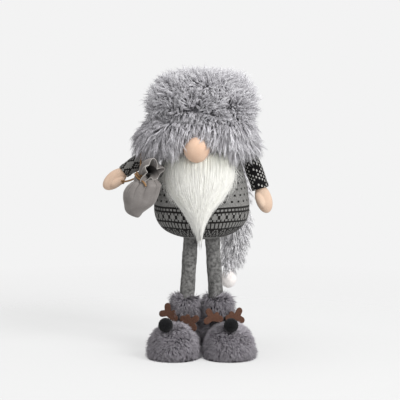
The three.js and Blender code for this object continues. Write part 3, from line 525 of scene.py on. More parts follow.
def lock_shape(normal, lay, length, rise, droop, wave, turns, rng, steps):
    """Each lock's line from its root: it starts at the angle rise from the normal, towards lay, and
    turns evenly to the angle droop, so its parts along the two are differences of sines and
    cosines. A sine wave that grows with the distance pushes it sideways."""
    count = len(normal)
    t = np.linspace(0, 1, steps)[None, :]
    angle = rise[:, None] + (droop - rise)[:, None] * t
    bend = (droop - rise)[:, None]
    outward = (np.sin(angle) - np.sin(rise)[:, None]) / bend
    sideways = (np.cos(rise)[:, None] - np.cos(angle)) / bend
    shape = normal[:, None] * outward[..., None] + lay[:, None] * sideways[..., None]
    phase = rng.uniform(0, 2 * np.pi, (count, 1))
    swing = wave[:, None] * t * (np.sin(2 * np.pi * turns * t + phase) - np.sin(phase))
    cross = unit(np.cross(normal, lay) + 0.5 * rng.normal(size=(count, 3)))
    return length[:, None, None] * shape + swing[..., None] * cross[:, None]


def combed_down(place, normal, style):
    """Down, and a little away from the gnome's axis."""
    return unit((place - AXIS) * [1, 1, 0]) * style["away"] + [0, 0, -1.0]


def fur_paths(roots, normals, rng, style, length_at=None, comb_at=combed_down):
    """The strands' lines, shape (strands, steps, 3), and each strand's tone. A lock bends from near
    the normal to the way it is combed. A strand is its lock's line, moved to its own root, with
    that offset shrinking towards the tip. Tones scatter round the style's own tone, and a style
    with shaded in it is darker on the gnome's right, away from the window."""
    count = len(roots)
    centre = rng.choice(count, style["locks"], replace=False)
    lock = nearest(roots, roots[centre])
    place, normal, size = roots[centre], normals[centre], len(centre)
    tousle = np.stack([ripple(place, rng, style["patch"]) for _ in range(3)], axis=1)
    comb = unit(comb_at(place, normal, style) + style["tousle"] * tousle)
    turn = style["swirl"] * ripple(place, rng, style["patch"]) + rng.normal(0, style["stray"], size)
    lay = lay_of(normal, comb, turn)
    reach = np.arccos(np.clip((normal * comb).sum(1), -1, 1))
    droop = np.minimum(reach, np.radians(style["droop"])) * rng.uniform(0.8, 1.15, size) + 0.05
    rise = droop * style["rise"] * rng.uniform(*style.get("rise_spread", (0.4, 1.5)), size)
    length = style["length"] * rng.uniform(*style.get("length_spread", (0.72, 1.2)), size)
    if length_at is not None:
        length = length * length_at(place, normal)
    wave = style["wave"] * rng.uniform(0.4, 1.4, size)
    steps = style["steps"]
    shape = lock_shape(normal, lay, length, rise, droop, wave, style["turns"], rng, steps)
    t = np.linspace(0, 1, steps)[None, :, None]
    offset = (roots - place[lock])[:, None, :] * (1 - style["gather"] * t**0.7)
    own = rng.uniform(0.72, 1.1, (count, 1, 1))
    frizz = style["frizz"] * rng.normal(size=(count, 1, 3)) * t
    paths = place[lock][:, None, :] + offset + own * shape[lock] + frizz
    tone = style.get("tone", 0.5) + 0.24 * rng.normal(size=size)
    tone = tone - style.get("shaded", 0) * np.clip(-normal[:, 0], 0, 1)
    return paths, np.clip(tone[lock] + 0.14 * rng.normal(size=count), 0, 1)


# %% [markdown]
# Each line gets a thin tube, closed at the root and pointed at the tip. The tubes of one piece are
# one mesh, and every strand repeats the same faces on its own points.

# %% Strands as one mesh
def strands(name, paths, thickness, tone, material, rng, blunt=0.5):
    """All strands as one mesh of closed three-sided tubes that taper to a point. The mesh keeps each
    strand's tone and how far along it a point is, and each strand has its own cell of the UV map."""
    count, steps = paths.shape[:2]
    sides = 3
    t = np.linspace(0, 1, steps)
    radius = thickness / 2 * (1 - t[:-1] ** 2) ** blunt
    upright = unit(rng.normal(size=(count, 3)))
    wide = rng.uniform(0.75, 1.25, (count, 1, 1))
    rings = rings_round(paths, np.append(radius, 0)[None, :, None] * wide, sides, upright)[:, :-1]
    block = (steps - 1) * sides + 1
    points = np.concatenate([rings.reshape(count, -1, 3), paths[:, -1:]], axis=1).reshape(-1, 3)
    start = np.arange(count)[:, None] * block
    k, s = (a.ravel() for a in np.indices((steps - 2, sides)))
    r = (s + 1) % sides
    quads = np.stack([k * sides + s, k * sides + r, (k + 1) * sides + r, (k + 1) * sides + s], axis=1)
    e = np.arange(sides)
    last = (steps - 2) * sides
    tips = np.stack([last + e, last + (e + 1) % sides, np.full(sides, block - 1)], axis=1)
    root = np.array([[2, 1, 0]])
    faces = [(start[:, :, None] + f[None]).reshape(-1, f.shape[1]) for f in (quads, tips, root)]
    cells = int(np.ceil(np.sqrt(count)))
    cell = np.stack([np.arange(count) % cells, np.arange(count) // cells], axis=1)
    side_rows = np.stack([k, k, k + 1, k + 1], 1) / (steps - 1)
    tip_rows = np.tile([steps - 2, steps - 2, steps - 1], (sides, 1)) / (steps - 1)
    inside = [
        np.stack([np.stack([s, s + 1, s + 1, s], 1) / sides, side_rows], -1),
        np.stack([np.stack([e, e + 1, e + 0.5], 1) / sides, tip_rows], -1),
        np.array([[[0.6, 0], [0.3, 0], [0, 0]]]),
    ]
    uv = [((cell[:, None, None, :] + 0.08 + 0.84 * local[None]) / cells).reshape(-1, 2) for local in inside]
    along = np.append(np.repeat(t[:-1], sides), 1)
    return new_piece(
        name, points, faces, material, uv, "OFBake", tone=np.repeat(tone, block), along=np.tile(along, count)
    )


# %% [markdown]
# Pile is dark near the cloth and pale at the tips. The backing that it is made on shows between the
# locks, so it has a colour of its own, close to the shade there.

# %% Fur and its backing
def fur_material(name, deep, middle, tip, sheen=0.15, roughness=0.62):
    """Dark near the cloth where no light gets, the fur's own colour, and paler tips. A strand's tone
    makes it a little darker or lighter than its neighbours, and also carries the painted shade that
    some styles add."""
    material, tree, shader = new_material(name, roughness, sheen=sheen, specular=0.25)
    along, tone = kept(tree, "along"), kept(tree, "tone")
    body = clouded(tree, along, 0.08, 0.5, deep, middle)
    ends = mixed(tree, spread_out(tree, along, 0.45, 1.0) * spread_out(tree, tone, 0.15, 0.8), body, tip)
    shade = clouded(tree, tone, 0.0, 0.55, deep, ends)
    colour = mixed(tree, 0.65, shade, ends)
    paint(tree, shader, colour)
    return material


def backing_material(name, dark, pale):
    """The knitted backing that pile fur is made on, seen only between the locks."""
    material, tree, shader = new_material(name, roughness=1.0, specular=0.1)
    cloud = noise(tree, 160, 4)
    paint(tree, shader, clouded(tree, cloud, 0.35, 0.65, dark, pale))
    add_bump(tree, shader, noise(tree, 700, 2), 0.6 * MM)
    return material


HAT_FUR = fur_material("hat_fur", linear(160, 158, 163), linear(230, 228, 232), linear(252, 252, 254))
HAT_BACKING = backing_material("hat_backing", linear(132, 130, 135), linear(158, 156, 161))
TAIL_FUR = fur_material(
    "tail_fur", linear(250, 249, 252), linear(253, 252, 254), linear(255, 255, 255), sheen=0.6
)
TAIL_BACKING = backing_material("tail_backing", linear(244, 243, 246), linear(250, 249, 252))
BOOT_FUR = fur_material("boot_fur", linear(100, 96, 102), linear(168, 163, 170), linear(214, 210, 216))
BOOT_BACKING = backing_material("boot_backing", linear(70, 67, 72), linear(96, 92, 98))

# %% [markdown]
# ## Hat crown
# The crown is a squat dome of fur. Its cloth lies well inside the fur's outer face, because the pile
# is about three centimetres long. The profile is turned about the gnome's axis, the cloth is that
# profile moved inwards, and the fur is planted on the cloth in three pieces, two in front and one at
# the back, so that no mesh is too heavy.

# %% Hat crown
CROWN_RADIUS = 91 * MM
CROWN_HEIGHT = 86 * MM
CROWN_FUR_DEPTH = 15 * MM


def moved_in(profile, distance):
    """A profile of (radius, height) moved inwards, square to its own line, and kept off the axis."""
    along = unit(np.gradient(profile, axis=0))
    moved = profile - distance * np.stack([along[:, 1], -along[:, 0]], axis=1)
    return np.stack([np.maximum(moved[:, 0], 0), moved[:, 1]], axis=1)


def turned(profile, centre=AXIS):
    """The surface that a profile sweeps round an upright axis: u goes round and v along it."""
    line = evenly(profile, 200)
    share = np.linspace(0, 1, len(line))

    def surface(u, v):
        radius, height = np.interp(v, share, line[:, 0]), np.interp(v, share, line[:, 1])
        angle = 2 * np.pi * u
        return centre + np.stack([radius * np.cos(angle), radius * np.sin(angle), height], axis=-1)

    return surface


def grid(surface, rows, around):
    """A surface's points as rings: v from row to row and u round each row."""
    v, u = np.meshgrid(np.linspace(0, 1, rows), np.arange(around) / around, indexing="ij")
    return surface(u, v)


def crown_profile():
    """Out from under the roll, up the side and over the top, in two cubic stretches."""
    r, h = CROWN_RADIUS, CROWN_HEIGHT
    low, knee, top = CREASE_Z - 8 * MM, CREASE_Z + 0.19 * h, CREASE_Z + h
    low = bezier((0.8 * r, low), (0.93 * r, low), (r, CREASE_Z), (r, knee))
    high = bezier((r, knee), (r, CREASE_Z + 0.86 * h), (0.9 * r, top), (0, top), 60)
    return np.concatenate([low, high[1:]])


crown_cloth_profile = moved_in(crown_profile(), CROWN_FUR_DEPTH)
crown_cloth_profile = crown_cloth_profile[: np.argmax(crown_cloth_profile[:, 0] <= 1e-6) + 1]
crown_surface = turned(crown_cloth_profile)
crown_cloth = skin("hat_crown_cloth", grid(crown_surface, 40, 64), HAT_BACKING)
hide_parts("hat_crown")
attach(crown_cloth, "root")

# %% [markdown]
# How fur falls is a set of named numbers, such as the length and droop of a lock. The crown's locks
# stand outwards, up above and down below, and they are short at the crease.

# %% Fur of the crown
HAT_STYLE = {
    "locks": 1150, "length": 27 * MM, "rise": 0.3, "droop": 74, "away": 0.6, "tousle": 0.75,
    "swirl": 0.7, "patch": 46 * MM, "stray": 0.5, "wave": 3.0 * MM, "turns": 1.2, "gather": 0.76,
    "frizz": 1.0 * MM, "steps": 6,
}
HAT_STRAND = 0.9 * MM


def plant(name, surface, count, style, seed, allowed=None, thickness=HAT_STRAND, material=HAT_FUR, **ways):
    """One piece of fur on a surface, with its own row of random numbers. Strands that reach the floor
    lie along it."""
    rng = np.random.default_rng(seed)
    roots, normals = scattered(surface, count, rng, allowed)
    paths, tone = fur_paths(roots, normals, rng, style, **ways)
    paths[..., 2] = np.maximum(paths[..., 2], thickness)
    piece = strands(name, paths, thickness, tone, material, rng)
    print(name, count, "strands,", len(piece.data.polygons), "faces")
    return piece


def crown_share(points):
    """How high on the crown a point is, from 0 at the crease to 1 at the top."""
    return np.clip((points[:, 2] - CREASE_Z) / CROWN_HEIGHT, 0, 1)


def crown_comb(place, normal, style):
    """Outwards, and up on the upper part of the crown or down on the lower part."""
    lift = 1.3 * crown_share(place) - 0.35
    return unit((place - AXIS) * [1, 1, 0]) * style["away"] + lift[:, None] * [0, 0, 1.0]


def crown_length(points, normals):
    """Short next to the crease, so that it stays a valley, and full from two fifths of the height. High
    on the gnome's right side it is pressed down a little."""
    share = crown_share(points)
    pressed = np.clip(-1.3 * normals[:, 0], 0, 1) * np.clip(3 * share - 1.4, 0, 1)
    return np.interp(share, [0, 0.12, 0.4, 1.0], [0.45, 0.65, 1.0, 1.0]) * (1 - 0.45 * pressed)


HALVES = {
    "front": lambda p, n: (p[:, 1] < AXIS[1]) * 1.0,
    "back": lambda p, n: (p[:, 1] >= AXIS[1]) * 1.0,
}
CROWN_COUNTS = {"front_under": 7000, "front_over": 4500, "back": 5300}
for seed, (name, count) in enumerate(CROWN_COUNTS.items()):
    fur = plant(
        f"hat_crown_fur_{name}", crown_surface, count, HAT_STYLE, 10 + seed, HALVES[name.split("_")[0]],
        length_at=crown_length, comb_at=crown_comb,
    )
    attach(fur, "root")

# %% [markdown]
# ## Hat roll
# The turned-up edge of the hat is a thick ring of fur. It is higher at the sides, where its fur
# covers the shoulders, and lower in front, where it ends above the nose. Its pile hangs down, and is
# short where the nose comes out.

# %% Hat roll
ROLL_RADII = {"left": 103 * MM, "back": 100 * MM, "right": 119 * MM, "front": 99 * MM}
ROLL_HEIGHTS = {"left": 46 * MM, "back": 46 * MM, "right": 40 * MM, "front": 30 * MM}
ROLL_INNER = 69 * MM
ROLL_TOP = CREASE_Z + 8 * MM
ROLL_FRONT_RISE = 4 * MM
ROLL_SLOPES = {"left": 5 * MM, "back": 0, "right": 18 * MM, "front": 3 * MM}
ROLL_FUR_DEPTH = 16 * MM
ROLL_FUR_HEIGHT = 5 * MM


def round_the_hat(angle, sizes, power=2):
    """A size that changes from its values at the left, back, right and front by squares of the sine,
    or by a higher power of it towards the front, for a narrow arch."""
    x, y = np.cos(angle), np.sin(angle)
    share = np.where(y > 0, y**2, np.abs(y) ** power)
    sides = np.where(x > 0, sizes["left"], sizes["right"])
    ends = np.where(y > 0, sizes["back"], sizes["front"])
    return sides * (1 - share) + ends * share


def roll_surface(depth, lower):
    """A ring whose section is a rounded box, drawn in by a depth outside and by another above and
    below: u goes round the hat, v round the section. A power of 0.8 fills out the corners."""

    def surface(u, v):
        a, b = 2 * np.pi * u, 2 * np.pi * v
        outer = round_the_hat(a, ROLL_RADII) - depth
        inner = ROLL_INNER
        height = round_the_hat(a, ROLL_HEIGHTS, 6) - 2 * lower
        flat = {"left": 0, "back": 0, "right": 0, "front": ROLL_FRONT_RISE}
        top = ROLL_TOP + round_the_hat(a, flat) - lower
        across = np.sign(np.cos(b)) * np.abs(np.cos(b)) ** 0.8
        up = np.sign(np.sin(b)) * np.abs(np.sin(b)) ** 0.8
        outer = outer - round_the_hat(a, ROLL_SLOPES) * (1 + up) / 2
        radius = (outer + inner) / 2 + across * (outer - inner) / 2
        return AXIS + np.stack([radius * np.cos(a), radius * np.sin(a), top - height * (1 - up) / 2], axis=-1)

    return surface


def looped(surface, rows, around):
    """Rings of a surface that closes on itself both ways: u from ring to ring, v round each."""
    u, v = np.meshgrid(np.arange(rows) / rows, np.arange(around) / around, indexing="ij")
    return surface(u, v)


roll = roll_surface(ROLL_FUR_DEPTH, ROLL_FUR_HEIGHT)
roll_cloth = skin("hat_roll_cloth", looped(roll, 96, 20), HAT_BACKING, loop=True)
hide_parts("hat_roll")
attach(roll_cloth, "root")

# %% [markdown]
# The roll's locks are longer and less tousled than the crown's. A bell curve shortens them above the
# nose, which leaves the nose in view.

# %% Fur of the roll
nose_low, nose_high = corners_of("nose")
NOSE_CENTRE = (nose_low + nose_high) / 2
NOSE_SIZE = nose_high - nose_low
ROLL_STYLE = {
    **HAT_STYLE, "shaded": 1.0, "length": 43 * MM, "rise": 0.55, "rise_spread": (0.7, 1.25),
    "droop": 98, "away": 0.15, "tousle": 0.25, "swirl": 0.35, "stray": 0.28, "wave": 2.8 * MM,
}
ROLL_COUNTS = {"front": 7000, "back": 5000}


def length_round_face(points, normals):
    """Full length away from the nose, short above it by a bell curve across the front, and half on
    top of the roll, where the pile lies outwards. The gnome's left side is clipped a little."""
    front = np.clip((AXIS[1] - 40 * MM - points[:, 1]) / (30 * MM), 0, 1)
    bell = np.exp(-(((points[:, 0] - NOSE_CENTRE[0]) / (24 * MM)) ** 2))
    left = np.clip((points[:, 0] - AXIS[0] - 45 * MM) / (35 * MM), 0, 1)
    return (1 - 0.46 * bell * front) * (1 - 0.5 * np.clip(normals[:, 2], 0, 1)) * (1 - 0.24 * left)


def outer_roll(points, normals):
    """Fur grows on the outside, top and bottom of the roll, but not against the head."""
    outward = unit((points - AXIS) * [1, 1, 0])
    return ((normals * outward).sum(1) > -0.35) * 1.0


for seed, (half, side) in enumerate(HALVES.items()):
    fur = plant(
        f"hat_roll_fur_{half}",
        roll,
        ROLL_COUNTS[half],
        ROLL_STYLE,
        20 + seed,
        lambda p, n, side=side: side(p, n) * outer_roll(p, n),
        length_at=length_round_face,
    )
    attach(fur, "root")

# %% [markdown]
# ## Hat tail and its ball
# The long tail of the hat hangs down the back, flattened, and is drawn in to a point that carries a
# fleece ball. The tail swings from the hat, so its fur rides on the tail's own body.

# %% Hat tail
TAIL_ROOT = AXIS + np.array([36, 95.6, 252]) * MM + [0, 0, BODY_BOTTOM]
TAIL_WIDTH = 50 * MM
TAIL_DEPTH = 28 * MM
TAIL_FUR_DEPTH = 5.5 * MM
TAIL_BEHIND = AXIS[1] + np.sqrt(ROLL_RADII["back"] ** 2 - (36 * MM) ** 2) + TAIL_DEPTH / 2 + 1 * MM
# Side step from the root, step behind the lie of the tail, and drop, for each point of its line.
TAIL_STEPS = np.array(
    [[4, -3, 33.8], [9, 1, 73.6], [16, 0, 147.6], [24, 0, 226.6], [22, 0, 279], [12, -4, 316]]
) * MM
tail_start = np.array([TAIL_ROOT[0], TAIL_BEHIND, TAIL_ROOT[2]])
tail_points = tail_start + TAIL_STEPS * [1, 1, -1]
tail_line = evenly(smooth(np.concatenate([[TAIL_ROOT], tail_points]), 200), 120)


def tail_surface(depth):
    """Ellipses square to the tail's line, full for most of it and drawn in to the tip by a circle's
    arc; the first stretch rounds out from the root by another."""
    share = np.linspace(0, 1, len(tail_line))
    tangent = unit(np.gradient(tail_line, axis=0))
    out = unit(np.cross([1.0, 0, 0], tangent))

    def surface(u, v):
        t = np.clip(v, 0, 1)
        centre = np.stack([np.interp(t, share, tail_line[:, k]) for k in range(3)], axis=-1)
        behind = np.stack([np.interp(t, share, out[:, k]) for k in range(3)], axis=-1)
        end = np.sqrt(np.clip(1 - (np.clip(t - 0.72, 0, None) / 0.29) ** 2, 0.01, 1))
        root = np.sqrt(np.clip(1 - (np.clip(0.06 - t, 0, None) / 0.07) ** 2, 0.04, 1))
        full = TAIL_WIDTH / 2 * (0.84 + 0.3 * np.sin(np.pi * np.minimum(1, t * 1.15)))
        width = (full * end - depth * end) * root
        deep = (TAIL_DEPTH / 2 * end - depth * end) * root
        angle = -2 * np.pi * u
        sideways = np.array([1.0, 0, 0]) * (width * np.cos(angle))[..., None]
        return centre + sideways + behind * (deep * np.sin(angle))[..., None]

    return surface


tail = tail_surface(TAIL_FUR_DEPTH)
tail_cloth = skin("hat_tail_cloth", grid(tail, 90, 24), TAIL_BACKING)
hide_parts("hat_tail")
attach(tail_cloth, "tail")
TAIL_STYLE = {
    **HAT_STYLE, "length": 22 * MM, "rise": 0.22, "rise_spread": (0.5, 1.3), "droop": 83,
    "away": 0.1, "tousle": 0.03, "swirl": 0.1, "stray": 0.06, "wave": 0.4 * MM, "turns": 0.6,
    "gather": 0.12, "frizz": 0.7 * MM, "steps": 4,
}
TAIL_STRANDS, TAIL_STRAND = 10400, 1.15 * MM
tail_fur = plant("hat_tail_fur", tail, TAIL_STRANDS, TAIL_STYLE, 30, thickness=TAIL_STRAND, material=TAIL_FUR)
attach(tail_fur, "tail")


# %% [markdown]
# ## Ball on the tail
# The ball is fleece over stuffing, sewn to the tail by a thread. Its pile is too short to show as
# strands, so its curls are bumps in the material.

# %% Fleece ball
def fleece_material():
    """Off-white fleece with a rosy cast: small curls of pile, seen as fine bumps."""
    material, tree, shader = new_material("ball_fleece", roughness=0.95, sheen=0.5, specular=0.1)
    curl = noise(tree, 700, 3)
    paint(tree, shader, clouded(tree, curl, 0.3, 0.7, linear(250, 243, 239), linear(255, 251, 249)))
    add_bump(tree, shader, curl, 0.5 * MM)
    return material


def lumpy(surface_points, centre, rng, amount, wavelength):
    """Points pushed away from a centre by smooth random amounts, as stuffing pushes cloth."""
    flat = surface_points.reshape(-1, 3)
    push = amount * ripple(flat, rng, wavelength, 6)
    return (flat + unit(flat - centre) * push[:, None]).reshape(surface_points.shape)


def ellipsoid_rings(centre, size, rows=40, around=56):
    """An ellipsoid as rings: radius by the cosine of the height angle and height by its sine."""
    v, u = np.meshgrid(np.linspace(-0.497, 0.497, rows) * np.pi, angles_round(around), indexing="ij")
    ball = np.stack([np.cos(v) * np.cos(u), np.cos(v) * np.sin(u), np.sin(v)], axis=-1)
    return centre + ball * np.array(size) / 2


ball_low, ball_high = corners_of("tail_ball")
BALL_RADIUS = (ball_high[0] - ball_low[0]) / 2
BALL_CENTRE = np.array([*(ball_low + ball_high)[:2] / 2, ball_low[2] + BALL_RADIUS])
FLEECE = fleece_material()
ball_rings = ellipsoid_rings(BALL_CENTRE - [0, 0, 1 * MM], BALL_RADIUS * np.array([2.06, 2.06, 2.2]))
ball_rings = lumpy(ball_rings, BALL_CENTRE, np.random.default_rng(31), 0.5 * MM, 9 * MM)
ball = skin("tail_ball_fleece", ball_rings, FLEECE)
thread_top = [*BALL_CENTRE[:2], ball_high[2] - 0.4 * MM]
thread_line = np.linspace(thread_top, BALL_CENTRE + [0, 0, 0.8 * BALL_RADIUS], 12)
thread = rope("tail_ball_thread", thread_line, FLEECE, (0, 1, 0.01), 1.8 * MM)
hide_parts("tail_ball")
for piece in (ball, thread):
    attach(piece, "ball")
print("ball", len(ball.data.polygons), "faces")

# %% [markdown]
# ## Knit cloth
# The body is covered with jersey knit whose chart has lines, teeth, crosses, dots and diamonds. The
# UV map counts stitches round and rows along, so a chart is a sum on whole numbers. Each stitch is a
# small V: its row number rises towards the stitch's sides, which bends the colour edges, and the
# bump has a ridge for each leg of the V.

# %% Knit material
STITCH = 2.4 * MM
ROW = 1.7 * MM
ROWS_IN_A_CELL = 2


def knit_material(name, light, dark, chart, marl=0.0, marl_detail=420):
    """Two yarns after a chart of cells that are one stitch wide and two rows high. chart takes the
    cell's numbers across and up and gives 1 for dark yarn. marl is how unevenly the light yarn is
    dyed, and a greater marl_detail makes its patches smaller."""
    material, tree, shader = new_material(name, roughness=0.95, sheen=0.1, specular=0.08)
    place = tree.nodes.new("ShaderNodeUVMap")
    place.uv_map = "UVMap"
    split = tree.nodes.new("ShaderNodeSeparateXYZ")
    tree.links.new(place.outputs["UV"], split.inputs[0])
    u, v = Sum(tree, split.outputs[0]), Sum(tree, split.outputs[1])
    aside = (u.math("FRACT") - 0.5).math("ABSOLUTE")
    v_stitch = v - aside * 0.9
    column, row = u.math("FLOOR"), (v_stitch * (1 / ROWS_IN_A_CELL)).math("FLOOR")
    leg = (aside * (2 * np.pi)).math("SINE")
    height = (v_stitch.math("FRACT") * np.pi).math("SINE") * leg
    fibre = noise(tree, 1500, 3)
    cloud = noise(tree, marl_detail, 3)
    dull = tuple(0.32 * c for c in light[:3]) + (1.0,)
    pale = mixed(tree, spread_out(tree, cloud, 0.38, 0.66) * marl, light, dull)
    pale = mixed(tree, spread_out(tree, fibre, 0.3, 0.8) * 0.35, pale, dull)
    colour = mixed(tree, chart(column, row), pale, dark) if chart else pale
    # Painted shade: the colour turns towards the dark yarn where a stitch is low, between the legs of its V.
    shaded = mixed(tree, (height * -1 + 1) * 0.25, colour, dark)
    paint(tree, shader, shaded)
    add_bump(tree, shader, height * 0.8 + fibre * 0.3, 0.5 * MM)
    return material


# %% [markdown]
# The motifs have to sit at the right heights, so the body's outline comes before its chart. Rows are
# counted along the outline, and a height then gives the number of its cell.

# %% Body outline and the chart's heights
def body_profile():
    """The body's outline from the underside to the top of the head, in four cubic stretches."""
    belly, shoulder, head = BELLY_RADIUS, 66 * MM, 60 * MM
    low, high, crown = 54 * MM, 142 * MM, 180 * MM
    chest = (high - low) / 3
    stretches = [
        bezier((0, 0), (belly * 0.66, 0), (belly, low * 0.36), (belly, low)),
        bezier((belly, low), (belly, low + chest), (shoulder + 5 * MM, high - chest), (shoulder, high)),
        bezier(
            (shoulder, high), (shoulder - 2 * MM, high + 12 * MM),
            (head + 2 * MM, crown - 14 * MM), (head, crown),
        ),
        bezier((head, crown), (head * 0.94, crown + 20 * MM), (head * 0.55, BODY_HEIGHT), (0, BODY_HEIGHT)),
    ]
    line = np.concatenate([stretches[0], *(s[1:] for s in stretches[1:])])
    return evenly(line + [0, BODY_BOTTOM], 160)


profile = body_profile()
profile_rows = lengths_along(profile) / ROW
BODY_STITCHES = int(2 * np.pi * BELLY_RADIUS / STITCH)
BODY_STITCHES -= BODY_STITCHES % 12


def body_radius(height):
    """The body's radius at a height above the floor."""
    return np.interp(height, profile[:, 1], profile[:, 0])


def cell_at(rise):
    """The number of the chart's cell at a height above the body's underside, in millimetres."""
    return int(np.interp(BODY_BOTTOM + rise * MM, profile[:, 1], profile_rows) / ROWS_IN_A_CELL)


LINE_TOP, LINE_SECOND = cell_at(57.5), cell_at(50.5)
LINE_THIRD, LINE_FOURTH = cell_at(33), cell_at(24)
BAND_TOP, BAND_BOTTOM = cell_at(20.5), cell_at(7)
print("chart lines", LINE_TOP, LINE_SECOND, LINE_THIRD, LINE_FOURTH, BAND_TOP, BAND_BOTTOM)


# %% [markdown]
# The chart repeats a few small motifs. Each is a sum on the cell's numbers, such as the steps from
# the middle of a repeat, so no picture is needed.

# %% Body chart
def from_middle(column, row, period, middle, flatter=1):
    """A cell's steps aside from the middle of its repeat, and up or down from a middle row."""
    aside = (column.wrapped(period) - (period - 1) / 2).math("ABSOLUTE")
    return aside, (row - middle).math("ABSOLUTE") * flatter


def banded(column, row, top, bottom):
    """A line, teeth over the cells between, and another line."""
    teeth = column.wrapped(3).is_at(0) * row.within(bottom + 1, top - 0.5)
    return row.is_at(top).either(row.is_at(bottom)).either(teeth)


def body_chart(column, row):
    """From the top: staggered dots, a band, a row of crosses, a second band, and a dark
    ground with light diamonds above a plain hem."""
    dots = (column + row).wrapped(6).within(-0.5, 1.5) * row.wrapped(3).is_at(0)
    dots = dots * row.within(LINE_TOP + 2, 400)
    first, second = banded(column, row, LINE_TOP, LINE_SECOND), banded(column, row, LINE_THIRD, LINE_FOURTH)
    aside, away = from_middle(column, row, 6, (LINE_SECOND + LINE_THIRD) / 2)
    crosses = (aside - away).is_at(0) * row.within(LINE_THIRD + 1, LINE_SECOND - 0.5)
    aside, away = from_middle(column, row, 7, (BAND_TOP + BAND_BOTTOM) / 2, 0.5)
    light = (aside + away).within(-1, 0.8).either((aside + away).within(2.4, 3.6))
    ground = row.within(BAND_BOTTOM, BAND_TOP + 1)
    return dots.either(first).either(second).either(crosses).either(ground - light * ground)


KNIT_LIGHT = linear(168, 167, 164)
KNIT_DARK = linear(32, 30, 29)
BODY_KNIT = knit_material("body_knit", KNIT_LIGHT, KNIT_DARK, body_chart, marl=0.5, marl_detail=330)
print("stitches round the belly", BODY_STITCHES, "rows", int(profile_rows[-1]))

# %% [markdown]
# ## Stuffed body
# The body is one egg of knit cloth, stuffed firmly. Turning its outline gives the form, and smooth
# lumps of a millimetre or so keep it from looking machined.


# %% Body
def body_rings(around=128):
    """The outline turned round the axis, pushed in and out a little by the stuffing."""
    angle = angles_round(around)
    radius, height = profile[1:-1, 0][:, None], profile[1:-1, 1][:, None]
    rings = AXIS + np.stack([radius * np.cos(angle), radius * np.sin(angle), height + 0 * angle], axis=-1)
    middle = AXIS + [0, 0, BODY_BOTTOM + BODY_HEIGHT * 0.4]
    return lumpy(rings, middle, np.random.default_rng(40), 0.7 * MM, 46 * MM)


torso = skin("torso_knit", body_rings(), BODY_KNIT, (BODY_STITCHES, 1), along=profile_rows[1:-1])
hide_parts("torso")
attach(torso, "root")
print("torso", len(torso.data.polygons), "faces")

# %% [markdown]
# ## Legs
# Two thin tubes of grey marl knit run from the boots up into the body. They lean in towards the hips.

# %% Legs
LEG_KNIT = knit_material("leg_knit", linear(160, 159, 157), KNIT_DARK, None, marl=1.0, marl_detail=200)
LEG_RADIUS = 12.6 * MM
SIDES = {"right": -1, "left": 1}
ANKLE_SPACING, HIP_SPACING = 49 * MM, 37 * MM
BOOT_TOP = corners_of("right_boot_roll")[1][2]


def leg_rings(side, rows=70, around=40):
    """Circles whose centres are upright over the ankle up to the boot's top and then lean in, with a
    slow waver of the radius."""
    low, high = corners_of("right_leg" if side < 0 else "left_leg")
    height = np.linspace(low[2] + 0.5 * MM, BODY_BOTTOM + 9 * MM, rows)
    share = np.clip((height - BOOT_TOP) / (BODY_BOTTOM - BOOT_TOP), 0, 1.4)
    centre = AXIS[0] + side * (ANKLE_SPACING + (HIP_SPACING - ANKLE_SPACING) * share) / 2
    radius = LEG_RADIUS * (1 + 0.025 * np.sin(height * 130 + side) + 0.012 * np.sin(height * 410))
    angle = angles_round(around)
    x = centre[:, None] + radius[:, None] * np.cos(angle)
    y = AXIS[1] + radius[:, None] * np.sin(angle)
    return np.stack([x, y, height[:, None] + 0 * angle], axis=-1)


for name, side in SIDES.items():
    rings = leg_rings(side)
    rows = np.linspace(0, (rings[-1, 0, 2] - rings[0, 0, 2]) / ROW, len(rings))
    leg = skin(f"{name}_leg_knit", rings, LEG_KNIT, (34, 1), along=rows)
    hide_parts(f"{name}_leg")
    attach(leg, "root")

# %% [markdown]
# ## Boots
# Each boot is a big round toe with a smaller heel, in short plush fur on a flat sole, and a fur roll
# round the ankle. The cloth of toe and heel is two domes fused into one skin. Boots turn outwards, so
# their forms are worked out in the boot's own frame and then turned and moved to the ankle.

# %% Boots
TOE_RADIUS, TOE_REACH = 45 * MM, 49 * MM
TOE_HEIGHT, TOE_SWELL = 62 * MM, 16 * MM
HEEL_RADIUS, HEEL_SWELL, INSTEP_HEIGHT = 24 * MM, 26 * MM, 68 * MM
SOLE_TOP = 3.3 * MM
BOOT_SPLAY = np.radians(27)
BOOT_FUR_DEPTH = 8 * MM
ANKLE_ROLL = {
    "radius": 27.5 * MM, "inner": 11.6 * MM, "shift": 3.6 * MM, "bottom": 58 * MM, "height": 46 * MM,
}


def from_boot(points, side):
    """Points from the boot's frame to the gnome's: turned by the splay about the upright line
    through the ankle, then moved to that ankle."""
    c, s = np.cos(side * BOOT_SPLAY), np.sin(side * BOOT_SPLAY)
    x, y, z = points[..., 0], points[..., 1], points[..., 2]
    turned_points = np.stack([c * x - s * y, s * x + c * y, z], axis=-1)
    return turned_points + AXIS + [side * ANKLE_SPACING / 2, 0, 0]


def dome(centre_y, radius, swell, top, depth, side):
    """An ellipsoid that stands on the sole: u goes round and v rises from the sole to the top."""
    half = top - swell - depth
    lowest = np.arcsin(np.clip((SOLE_TOP + 0.5 * MM - swell) / half, -1, 1))

    def surface(u, v):
        rise = lowest + (np.pi / 2 * 0.999 - lowest) * v
        angle = 2 * np.pi * u
        wide = (radius - depth) * np.cos(rise)
        x, y = wide * np.cos(angle), centre_y + wide * np.sin(angle)
        return from_boot(np.stack([x, y, swell + half * np.sin(rise)], axis=-1), side)

    return surface


